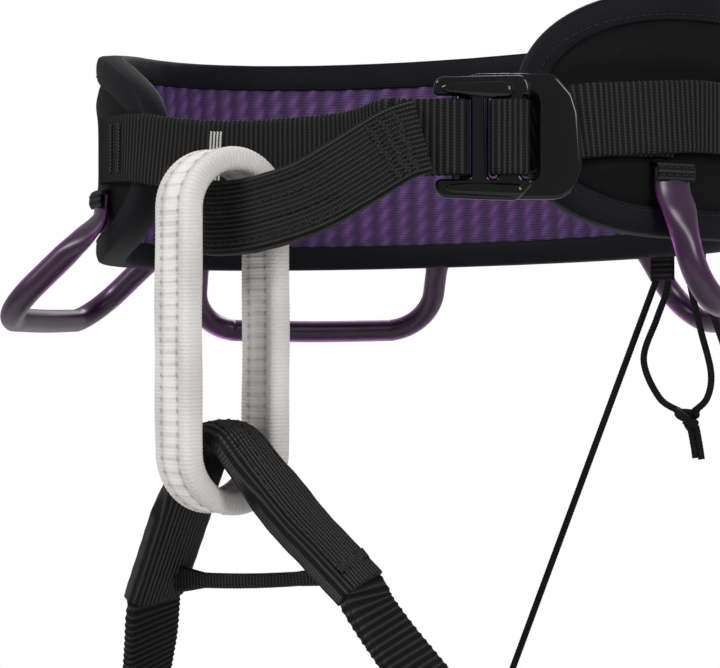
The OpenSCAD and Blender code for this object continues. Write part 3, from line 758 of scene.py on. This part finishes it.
# ---- straps
def strap(name, points, ups, body, nodes, place=same, w=WEB_W, t=WEB_T, gap=0.44, pitch=2.2, amp=0.38, blend=None,
          sleeve=False, width=None, thick=None, crown=0.0):
    """Webbing or a woven sleeve through points, with its weave's ribs as geometry."""
    both = smooth_curve(join([np.asarray(points, float), np.asarray(ups, float)], 1))
    path, up, s = even(both[:, :3], gap, both[:, 3:])
    bumps = lengthwise(1.6, amp) if sleeve else ribs(2.2, amp)
    wide = None if width is None else np.interp(s / s[-1], *width)
    deep = None if thick is None else np.interp(s / s[-1], *thick)
    outline = flat_profile(w, t, 73 if sleeve else 17, 4, crown)
    shape = Shape().sweep(path, up, outline, s * 2.2 / pitch, wide, deep, bump=bumps)
    make(name, shape, SLEEVE if sleeve else WEBBING, body, nodes, place, blend)
    return path, up


def fold(g, at):
    points = [(PLATE_LEFT - 12, PLATE_Y - FOLD_R), (PLATE_LEFT - 5, PLATE_Y - FOLD_R)]
    for a in np.radians(range(-90, 91, 30)):
        points.append((PLATE_LEFT + FOLD_R * np.cos(a), PLATE_Y + FOLD_R * np.sin(a)))
    points += [(PLATE_LEFT - 5, PLATE_Y + FOLD_R), (PLATE_LEFT - 11, PLATE_Y + FOLD_R)]
    return buckle_points(g, at, points)


left_points = [ring_point(BELT, 321, -1, 2.6), ring_point(BELT, 329, -1.5, 2.6), ring_point(BELT, 337, -3, 2.7),
               (-30, -108, -7.5), (-8, -108, -9.5), (15, -108, -10), (45, -110, -9.5),
               buckle_point(BELT, WAIST_BUCKLE, -35, -5.5), buckle_point(BELT, WAIST_BUCKLE, -29, PLATE_Y - FOLD_R)]
left_points += fold(BELT, WAIST_BUCKLE)
left_line, left_up = strap("waist_left_webbing", left_points, [UP] * len(left_points), "waist", ["waist_webbing_left"])

load_rows = [(6, 5.5, 0), (13, 8.4, 1.5), (20, 8.5, 3.6), (27, 9.3, 5.6), (34, 11.1, 6.8)]
load_points = buckle_points(BELT, WAIST_BUCKLE, load_rows)
load_points += [ring_point(BELT, th, -2, STRAND_OFF) for th in range(60, 74, 4)]
strap("waist_load_webbing", load_points, [UP] * len(load_points), "waist", ["waist_webbing_right"])
tail_rows = [(8, 4.8, 0.5), (15, 5.6, 2.2), (21, 5.6, 4), (29, 6, 6), (36, 8, 7)]
tail_points = buckle_points(BELT, WAIST_BUCKLE, tail_rows)
tail_points += [ring_point(BELT, th, -2 + min((th - 60) / 8, 2), TAIL_OFF) for th in range(60, 121, 4)]
strap("waist_tail_webbing", tail_points, [UP] * len(tail_points), "waist", ["waist_tail"])

tie_points = [(-24, -120.5, -24), (-13, -126, -29), (2, -130, -32.3), (14, -132.5, -32.8), (28, -134, -31.6),
              (46, -132.2, -27), (59, -126.7, -19.5), buckle_point(BELT, WAIST_BUCKLE, -31, -12.4) + arr(0, 1.3, -3),
              buckle_point(BELT, WAIST_BUCKLE, -22, -12.4) + arr(0, 1.1, 0)]
tie_line, tie_ups = strap("tie_in_front_sleeve", tie_points, [UP] * len(tie_points), "waist", ["tie_in_sleeve"],
                          w=26, t=5.2, gap=1.0, amp=0.18, sleeve=True, crown=0.3,
                          width=([0, 0.75, 1], [1, 1, 0.97]), thick=([0, 0.5, 0.8, 1], [1, 1, 0.7, 0.42]))
sewing = Shape()
for x in (-8.5, -3, 3, 8.5):
    stitch_row(sewing, tie_line, tie_ups, x, 2.95, start=24, end=88)
for at in (104, 108, 112):
    bar_tack(sewing, tie_line, tie_ups, at, 1.75 - (at - 104) * 0.06, 21, 2.6, 16, 0.24)
for at in (14, 22):
    bar_tack(sewing, left_line, left_up, at, 1.3)
make("tie_in_stitching", sewing, THREAD, "waist")
pale = Shape()
for at in (75, 76.6, 78.2, 79.8):
    bar_tack(pale, left_line, left_up, at, 1.35, 17, 0.7, 22, 0.2)
make("belt_pale_bar_tack", pale, PALE_THREAD, "waist")

bridge_points = arr([-38.5, -111, -164], [-27, -117.5, -149.5], [-13, -125, -131], [0.5, -131, -113],
                    [5.5, -132.6, -108.5], [12.5, -134.2, -106.5], [19.5, -136, -108.5], [25, -137, -113],
                    [41, -132, -133], [52, -128.4, -144.5], [62.5, -125, -155.5])
bridge_ups = [turn(arr(0, 1, 0), 2, -12 + 4 * abs(i - 5) / 10) for i in range(11)]
bridge_width = ([0, 0.25, 0.42, 0.5, 0.58, 0.75, 1], [1, 0.98, 0.82, 0.78, 0.82, 0.98, 1])
bridge_line, bridge_up = strap("bridge_padded_sleeve", bridge_points, bridge_ups, "waist", ["bridge_sleeve"],
                               t=8, gap=1.0, amp=0.2, sleeve=True, crown=1.5, width=bridge_width)
sewing = Shape()
bridge_len = float(norm(np.diff(bridge_line, axis=0), axis=1).sum())
for x in (-7.5, -2.5, 2.5, 7.5):
    stitch_row(sewing, bridge_line, bridge_up, x, 5.5 - 1.5 * (x / 12.5) ** 2, start=9, end=bridge_len - 9,
               width=bridge_width)
for at in (bridge_len - 8, 8):
    bar_tack(sewing, bridge_line, bridge_up, at, 5.2, 17, 4)
make("bridge_stitching", sewing, THREAD, "waist")
cross = [low_point(arr(x, -1, 3 + 1.2 * (x / 38) ** 2)) for x in (-38.5, -20, 0, 20, 38.5)]
strap("bridge_cross_tape", cross, [turn(UP, 1, LOW_ROLL)] * 5, "waist", ["bridge_cross_strap"], w=5.5, t=1.4,
      gap=0.5, pitch=1.6, amp=0.1, width=([0, 0.2, 0.8, 1], [1.9, 1, 0.9, 1.2]))


# ---- belay loop
def belay_shape():
    """A flattened tube of webbing bent to a racetrack, with a raised welt near each edge."""
    r = BELAY_OUT / 2 - BELAY_T / 2
    straight = BELAY_LEN / 2 - BELAY_OUT / 2
    a = np.linspace(0, PI, 40)
    top = columns(r * np.cos(a), straight + r * np.sin(a))
    ring = join([[[r, -straight]], top, -top, [[r, -straight]]])
    path2, s = even(ring, 0.3125)
    bow = 1.2 * np.cos(PI * path2[:, 1] / BELAY_LEN)
    x = path2[:, 0] + np.sign(path2[:, 0]) * np.clip(np.abs(path2[:, 0]) / r, 0, 1) * bow * 0.6
    local = columns(x, 0 * x, path2[:, 1])
    path = arr(*BELAY_AT) + turn(local, 2, BELAY_YAW + 90)
    ups = np.broadcast_to(turn(arr(0, 1, 0), 2, BELAY_YAW + 90), path.shape)
    half = BELAY_W / 2
    part = arr(0.6, 1.4, 2.2, 3.0, 3.7, 4.2, 4.55, 4.9, 5.25, 5.6, 6.1, 7.0, half - 2.4, half - 1.4, half - 0.3)
    deep = arr(3.75, 3.75, 3.7, 3.6, 3.5, 3.4, 3.35, 3.3, 3.35, 3.4, 3.55, 3.8, 3.9, 3.6, 2.6)
    xs, ys = join([-part[::-1], part]), join([deep[::-1], deep])
    edge = arr([half, 1.3], [half + 0.15, 0], [half, -1.3])
    outline = join([columns(xs, ys), edge, columns(xs[::-1], -ys), -edge])

    def bump(s, x, y):
        rib = 0.2 * (np.abs(np.sin(PI * s / 1.25 + 0.25 * np.sin(s / 3.1))) - 0.6)
        face = np.abs(y) > 2
        hole = -0.85 * hump(np.abs(x) - 4.9, 0.8) * (0.25 + 0.75 * np.cos(PI * s / 3.9) ** 6)
        puff = 0.45 * np.exp(-((x / 3.6) ** 4)) * np.abs(np.sin(PI * s / 3.9)) ** 0.7
        return rib + face * (hole + puff) + 0.1 * np.sin(s / 6 + x / 4)

    shape = Shape().sweep(path, ups, outline, s, bump=bump)
    # the cloth's third value is set to the bump height, which the pale tape's material turns into painted shade in the
    # dips and stitch holes
    shape.c[0][:, 2] = bump(shape.c[0][:, 1], shape.c[0][:, 0], np.tile(outline[:, 1], len(path)))
    return shape, path, ups


belay, belay_line, belay_ups = belay_shape()
make("belay_loop_webbing", belay, BELAY, "belay", ["belay_loop"])
sewing = Shape()
for x in (-4.9, 4.9):
    for y in (-2.9, 2.9):
        stitch_row(sewing, belay_line, belay_ups, x, y, gap=3.9, length=2.2, r=0.36)
make("belay_loop_stitching", sewing, PALE_THREAD, "belay")


# ---- gear loops
def gear_path(g):
    """The loop's centre line: flat ends on the pad, two legs, round bends and a slightly sagging bottom."""
    a, b = ring_point(BELT, g[:2], GEAR_Z, GEAR_OFF)
    half = norm(b - a) / 2
    x = unit((b - a) * arr(1, 1, 0))
    c, out = (a + b) / 2, arr(x[1], -x[0], 0)
    tilt, depth, bend = np.radians(g[2]), g[3], 20
    a = np.linspace(0, PI / 2, 12)
    leg = columns(np.full(4, half), np.linspace(4, depth - bend - 2, 4))
    corner = columns(half - bend + bend * np.cos(a), depth - bend + bend * np.sin(a))
    side = join([leg, corner])
    flat = join([side * arr(-1, 1), [[0, depth + 0.6]], side[::-1]])
    down = -UP * np.cos(tilt) + out * np.sin(tilt)
    path = c + np.outer(flat[:, 0], x) + np.outer(flat[:, 1], down)
    ends = [ring_point(BELT, th, (-17.5, -22, -26.5), (2.6, 2.9, 3.7)) for th in g[:2]]
    path = join([ends[0], path, ends[1][::-1]])
    return even(smooth_curve(path, 6), 1.0)[0]


patches, patch_sewing = Shape(), Shape()
for key, g in GEAR.items():
    path = gear_path(g)
    s = np.arange(len(path)) * 1.0
    from_end = np.minimum(s, s[-1] - s)
    near = np.clip(1 - (from_end - 12) / 18, 0, 1)
    near = near * near * (3 - 2 * near)
    body = "gear_" + key
    ends = ring_normal(BELT, g[:2])
    mix = np.clip((s / s[-1] - 0.3) / 0.4, 0, 1)[:, None]
    ups = (1 - mix) * ends[0] + mix * ends[1]
    across = unit(np.cross(tangents(path), ups))
    hinge = ring_point(BELT, g[:2], GEAR_Z + 3, 4).sum(0) / 2
    bend = (hinge, hinge - arr(0, 0, 9))
    tube = Shape().sweep(path, across, round_profile(4.7, 24), s, 1 + 0.62 * near, 1 - 0.5 * near)
    make("gear_loop_%s_tube" % key, tube, TUBE, body, [body + "_tube"], blend=bend)
    core = Shape().sweep(path, across, round_profile(2.9, 16), s, 1 + 0.6 * near, 1 - 0.55 * near,
                         bump=lambda s, x, y: 0.08 * np.sin(2 * PI * s / 3))
    make("gear_loop_%s_core" % key, core, CORD, body, [body + "_core"], blend=bend)
    for th in g[:2]:
        nrm = ring_normal(BELT, th)
        tan = sideways(nrm)
        line = ring_point(BELT, th, (-15.6, -16.5, -18, -20.9, -22.4), (2.2, 4.4, 5.3, 5.4, 4.6))
        line = even(smooth_curve(line, 8), 0.4)[0]
        patches.sweep(line, tan, flat_profile(16.5, 1.1, 11, 3), None, bump=ribs(1.5, 0.12))
        for z, off in ((-18, 5.95), (-20.6, 6.0)):
            middle = ring_point(BELT, th, z, off)
            for row in np.arange(-6.4, 6.5, 3.2):
                stitch(patch_sewing, middle + tan * row, tan, np.cross(nrm, tan), nrm, 2.4, 0.26)
make("gear_loop_sewn_patches", patches, WEBBING, "waist", ["gear_loop_tabs"])
make("gear_loop_patch_stitches", patch_sewing, THREAD, "waist")


# ---- buckles
def rounded_outline(corners, n=6):
    """A closed outline from (x, z, radius) corners, each rounded off by its radius."""
    c = np.asarray(corners, float)
    out = []
    for before, here, after in zip(np.roll(c, 1, 0), c, np.roll(c, -1, 0)):
        p, r = here[:2], here[2]
        u, v = unit(before[:2] - p), unit(after[:2] - p)
        half = np.arccos(np.clip(u @ v, -1, 1)) / 2
        cut = min(r / np.tan(half), 0.49 * norm(before[:2] - p), 0.49 * norm(after[:2] - p))
        t = np.linspace(0, 1, n)[:, None]
        out.append((1 - t) ** 2 * (p + cut * u) + 2 * t * (1 - t) * (p + 0.12 * cut * (u + v)) + t**2 * (p + cut * v))
    return join(out)


def box_corners(x0, x1, z0, z1, r):
    return [(x0, z0, r), (x1, z0, r), (x1, z1, r), (x0, z1, r)]


def plate_shape(outer, hole, thick, bevel, y_mid, dome, x_mid=0.0):
    """A flat metal plate with a rounded window and bevelled edges, from filled outlines."""
    curve = bpy.data.curves.new("outline", "CURVE")
    curve.dimensions = "2D"
    curve.fill_mode = "BOTH"
    curve.extrude = thick / 2 - bevel
    curve.bevel_depth = bevel
    curve.bevel_resolution = 3
    curve.offset = -bevel
    for pts in (outer, hole):
        spline = curve.splines.new("POLY")
        spline.points.add(len(pts) - 1)
        spline.points.foreach_set("co", np.c_[pts, np.zeros(len(pts)), np.ones(len(pts))].ravel())
        spline.use_cyclic_u = True
    holder = add_object("outline", curve)
    bpy.context.view_layer.update()
    mesh = bpy.data.meshes.new_from_object(holder.evaluated_get(bpy.context.evaluated_depsgraph_get()))
    bm = bmesh.new()
    bm.from_mesh(mesh)
    bmesh.ops.remove_doubles(bm, verts=bm.verts, dist=0.01)
    co = np.array([v.co for v in bm.verts])
    faces = [[v.index for v in f.verts] for f in bm.faces]
    bm.free()
    bpy.data.objects.remove(holder)
    y = -co[:, 2] + y_mid - dome * (1 - ((co[:, 0] - x_mid) / 22) ** 2)
    return Shape().add(columns(co[:, 0], y, co[:, 1]), faces, columns(co[:, 0], co[:, 1], y))


def rod(shape, ends, radii, flat=1.0, n=26):
    """A rounded rod between two points, one radius growing into the other."""
    t = np.linspace(-1, 1, n)
    line = arr(*ends[0]) + (t[:, None] + 1) / 2 * (arr(*ends[1]) - arr(*ends[0]))
    size = (1 - np.clip(np.abs(t), 0, 0.997) ** 8) ** 0.5 * (radii[0] + (radii[1] - radii[0]) * (t + 1) / 2)
    up = arr(0, 1, 0) if abs(line[0][2] - line[-1][2]) > abs(line[0][0] - line[-1][0]) else UP
    shape.sweep(line, up, round_profile(1, 18), None, size, size * flat)


def buckle(prefix, g, at, body, plate_body, place, node):
    """A frame with one wide window, and a plate in front of it that the webbing folds and wraps round."""
    def put(p):
        return place(buckle_point(g, at, *p.T))

    top, low, window = FRAME_H / 2 + 0.8, 0.8 - FRAME_H / 2, WEB_W / 2 + 2
    left, right = FRAME_X - FRAME_W / 2, FRAME_X + FRAME_W / 2
    outer = rounded_outline([(left, low, 9), (right - 3, low, 8), (right + 0.6, low + 11, 8),
                             (right - 0.6, top - 13, 6), (right - 2.5, top - 7, 4), (right - 8.5, top, 5),
                             (left, top, 9)])
    hole = rounded_outline(box_corners(left + 6, right - 14.5, 0.8 - window, 0.8 + window, 3))
    shape = plate_shape(outer, hole, FRAME_T, 1.5, FRAME_T / 2, 0.5, FRAME_X)
    metal = [make(prefix + "_frame_metal", shape, METAL, body, [node % "buckle_frame"], put)]
    x0, x1, bar0, bar1, slot1, bar2, x2 = PLATE_X
    z0, z1 = WEB_W / 2 + 1.2, PLATE_H / 2
    outer = rounded_outline([(x0, z0, 1.5), (x0, z1 - 0.5, 6), (x2 - 1, z1, 6), (x2 - 0.5, z0, 2), (bar2, z0, 1),
                             (bar2, -z0, 1), (x2, -z0, 2), (x2 + 0.5, -z1 + 5, 3), (x2 - 5, -z1 - 0.5, 4),
                             (x0 + 1, -z1 + 0.5, 6), (x0 + 0.5, -z0, 1.5), (bar0, -z0, 1.5), (bar0, z0, 1.5)])
    hole = rounded_outline(box_corners(bar1, slot1, -z0, z0, 1.2))
    shape = plate_shape(outer, hole, PLATE_T, 1.3, PLATE_Y, 0.3)
    rod(shape, [(x1, PLATE_Y, -z0 - 2), (x1, PLATE_Y, z0 + 2)], (BAR_R, BAR_R))
    face = PLATE_Y - PLATE_T / 2
    rod(shape, [(x0 + 2.5, face, z1 - 4.2), (8.6, face - 0.3, z1 - 5.2)], (1.7, 3.5), 0.62)
    rod(shape, [(x0 + 4, face, -z1 + 3.6), (x2 - 2.5, face - 0.2, -z1 + 2.8)], (1.7, 2.5), 0.6)
    rod(shape, [(bar1 - 0.9, face, -z0 - 1), (bar1 - 1.5, face, z0 + 1)], (1.2, 1.0), 0.45)
    metal.append(make(prefix + "_plate_metal", shape, METAL, plate_body, [node % "buckle_plate"], put))
    for piece in metal:
        piece.data.set_sharp_from_angle(angle=0.7)
    web = WEB_T / 2
    xa, xb = slot1 - 0.45 - web, bar2 + 0.45 + web
    ya, yb = face - 0.5 - web, PLATE_Y + PLATE_T / 2 + 1.4
    line = [(xa + 0.2, yb, 0), (xa, yb - 2.5, 0), (xa + 0.2, ya + 1.5, 0), (xa + 1.6, ya + 0.1, 0),
            ((xa + xb) / 2, ya - 0.3, 0), (xb - 1.6, ya + 0.1, 0), (xb - 0.2, ya + 1.5, 0), (xb, yb - 2.5, 0),
            (xb - 0.1, yb, 0)]
    strap(prefix + "_wrap_webbing", line, [UP] * len(line), plate_body, [node % "buckle_wrap"], put, gap=0.3,
          pitch=1.7, amp=0.32)


buckle("waist_buckle", BELT, WAIST_BUCKLE, "waist", "waist_plate", same, "%s")


# ---- keepers, haul loop, tabs
def band(name, g, th, off, w, body, node, place=same):
    """A narrow elastic ring round a webbing tail."""
    n = ring_normal(g, th)
    tan = sideways(n)
    c = ring_point(g, th, 0, off + 0.1)
    a = np.linspace(0, 2 * PI, 80, endpoint=False)
    y = (WEB_T + 2.3) / 2 * np.sign(np.sin(a)) * np.abs(np.sin(a)) ** 0.35
    z = (WEB_W + 3.8) / 2 * np.sign(np.cos(a)) * np.abs(np.cos(a)) ** 0.35
    path = c + np.outer(y, n) + np.outer(z, UP)
    shape = Shape().sweep(path, tan, flat_profile(w, 1.1, 13, 3), closed=True,
                          bump=lambda s, x, y: 0.1 * np.cos(2 * PI * x / 1.4), s=np.arange(80) * 0.7)
    make(name, shape, SLEEVE, body, [node], place)


band("tail_keeper_front_band", BELT, 92, TAIL_OFF, 10, "keeper_front", "tail_keeper_front")
band("tail_keeper_rear_band", BELT, 110, TAIL_OFF, 10, "keeper_rear", "tail_keeper_rear")


def on_ring(g, th, p):
    n = ring_normal(g, th)
    p = np.asarray(p, float)
    return ring_point(g, th) + np.outer(p[:, 0], sideways(n)) + np.outer(p[:, 1], n) + np.outer(p[:, 2], UP)


def tape(shape, g, th, points, w, t):
    path = even(smooth_curve(on_ring(g, th, points), 8), 0.45)[0]
    up = sideways(ring_normal(g, th))
    shape.sweep(path, up, flat_profile(w, t, 11, 3), None, bump=ribs(1.8, 0.14))


tab = Shape()
tape(tab, BELT, 187, [(0, 1.7, 5.5), (0, 2.6, 4.5), (0, 2.9, -1), (0, 2.9, -5), (0, 2.4, -7.4)], 18, 3.2)
make("haul_loop_tab", tab, WEBBING, "waist", ["haul_tab"])
a = np.linspace(-PI / 2, PI * 1.5, 90)
oval = columns(5.9 * np.sign(np.cos(a)) * np.abs(np.cos(a)) ** 0.6, np.full(90, 2.4),
                 -24.4 + 14.0 * np.sign(np.sin(a)) * np.abs(np.sin(a)) ** 0.6)[:-1]
haul = Shape()
path = on_ring(BELT, 187, oval)
haul.sweep(path, ring_normal(BELT, 187), flat_profile(2.3, 3.6, 5, 4), closed=True,
           s=np.arange(len(path)) * 0.9, bump=lambda s, x, y: 0.15 * np.sin(2 * PI * s / 1.8))
make("haul_loop_tape", haul, WEBBING, "haul", ["haul_loop"])
tabs = Shape()
for th in RISER_AT:
    tape(tabs, BELT, th, [(0, 2.2, -28), (0, 2.3, -33), (0, 2.3, -42), (0, 2.3, -51.2)], 13.5, 1.9)
make("riser_sewn_tabs", tabs, WEBBING, "waist", ["riser_tabs"])

# ---- leg loops
STRAP_LOW = [(54.6, 1.2, -7.2), (63, 6, -22), (78, 13, -44), (101, 20, -64)]
STRAP_TURN = [(0, 1, 0), (0, 1, 0.15), (0, 1, 0.6), (0, 0.6, 1)]
BRANCH_LOW = [(63, 13, -89), (69, 15.5, -70), (72.5, 19, -55)]
BRANCH_TURN = [(-0.55, 0.2, 0.8), (-0.75, 0.4, 0.5), (-0.7, 0.6, 0.4)]
for name, side, k in (("left", 1, 0), ("right", -1, 1)):
    body = "leg_" + name
    place = leg_world(side)
    node = body + "_%s"
    build_pad(body, LEG, body, place, [node % "shell", node % "foam"], node % "lining", node % "binding", 0.6, 1.1)
    # the strap runs from inside the bridge's sleeve to the buckle
    inside = bridge_points[-1 if side > 0 else 0]
    further = bridge_points[-2 if side > 0 else 1]
    start = [to_leg((turn(turn(q - LOW_AT, 2, -LOW_YAW), 1, -LOW_ROLL)) * arr(side, 1, 1))
             for q in (inside + 0.5 * (further - inside), inside)]
    ends = buckle_points(LEG, LEG_BUCKLE, [(-36, PLATE_Y - FOLD_R + 1.5), (-30, PLATE_Y - FOLD_R)])
    points = [*start, *[to_leg(p) for p in STRAP_LOW]]
    ups = [leg_dir((0, 1, 0))] * 2 + [leg_dir(v) for v in STRAP_TURN]
    flat = [*ends, *fold(LEG, LEG_BUCKLE)]
    points, ups = points + flat, ups + [UP] * len(flat)
    hinge = low_point(arr(side * 51, 0, 0))
    below = low_point(arr(side * 55, 1.5, -9))
    nodes = [node % "strap"] + (["bridge_webbing"] if side > 0 else [])
    strap(body + "_front_strap", points, ups, body, nodes, place, t=4.6, pitch=2.6, amp=0.4, gap=0.52,
          blend=(hinge, below), width=([0, 0.05, 0.5, 1], [0.86, 0.92, 1, 1]))
    points = buckle_points(LEG, LEG_BUCKLE, [(13, 8.6), (20, 9.2), (27, 11), (34, 14.2)])
    points += [ring_point(LEG, 82 + 9.5 * i, 0, 1.5 + max(0, i - 23) * 0.6) for i in range(27)]
    points += [to_leg(p) for p in BRANCH_LOW]
    ups = [UP] * 31 + [leg_dir(v) for v in BRANCH_TURN]
    strap(body + "_pad_webbing", points, ups, body, [node % "webbing"], place)
    points = buckle_points(LEG, LEG_BUCKLE, [(15, 5.6), (21, 5.7), (29, 7), (36, 10.4)])
    points += [ring_point(LEG, th, 0, LEG_TAIL_OFF) for th in range(82, 137, 6)]
    strap(body + "_tail_webbing", points, [UP] * len(points), body, [node % "tail"], place)
    buckle(body + "_buckle", LEG, LEG_BUCKLE, body, body + "_plate", place, node)
    band(body + "_tail_keeper_band", LEG, 112, LEG_TAIL_OFF, 8, body + "_tail_keeper", node % "keeper", place)
    tab = Shape()
    tape(tab, LEG, LEG_TAB[k], [(0, 2.2, 16.4), (0, 2.2, 24), (0, 2.2, 31), (0, 2.2, 37.6)], 11.5, 1.9)
    make(body + "_riser_sewn_tab", tab, WEBBING, body, [node % "riser_tab"], place)
    top = riser_top(k, -3.5 * side)
    low = place(ring_point(LEG, LEG_TAB[k], 38.7, 2.2))
    line = top + np.linspace(0, 1, 30)[:, None] * (low - top)
    make("riser_cord_" + name, cord_shape(line, CORD_R, waves=0.06), CORD, body, ["riser_" + name],
         blend=(top, low))

# ---- floor and light
ground = float(cad_box[0][2]) - 0.06
bpy.ops.mesh.primitive_circle_add(vertices=96, radius=0.85, fill_type="NGON", location=(0, 0, ground))
floor = bpy.context.object
floor.name = "floor"
pale = Nodes("pale_floor", Roughness=0.9, Specular_IOR_Level=0.1)
pale.finish(pale.mix(pale.noise(pale.place(0.7), 1.0), (0.9, 0.9, 0.9), (0.93, 0.93, 0.93)))
floor.data.materials.append(pale.material)

world = bpy.data.worlds.new("studio")
scene.world = world
world.use_nodes = True
tree = world.node_tree
ambient = tree.nodes["Background"]
backdrop = tree.nodes.new("ShaderNodeBackground")
for background, strength in ((ambient, 0.38), (backdrop, 1.0)):
    background.inputs[0].default_value = (1, 1, 1, 1)
    background.inputs[1].default_value = strength
rays = tree.nodes.new("ShaderNodeLightPath")
either = tree.nodes.new("ShaderNodeMixShader")
for socket, source in enumerate((rays.outputs["Is Camera Ray"], ambient.outputs[0], backdrop.outputs[0])):
    tree.links.new(source, either.inputs[socket])
tree.links.new(either.outputs[0], tree.nodes["World Output"].inputs[0])
scene.view_settings.view_transform = "Standard"


def area_light(name, at, aim, size, power):
    data = bpy.data.lights.new(name, "AREA")
    data.shape = "RECTANGLE"
    data.size, data.size_y = size
    data.energy = power
    lamp = add_object(name, data)
    lamp.location = at
    lamp.rotation_euler = (Vector(aim) - lamp.location).to_track_quat("-Z", "Y").to_euler()


area_light("key", (-0.35, -1.0, 0.75), (0, -0.08, -0.08), (0.5, 0.3), 9)
area_light("side", (1.0, -0.35, 0.35), (0.05, -0.05, -0.08), (0.3, 0.5), 5)
area_light("back", (-0.3, 1.2, 0.8), (0, 0.05, -0.1), (0.9, 0.5), 6)
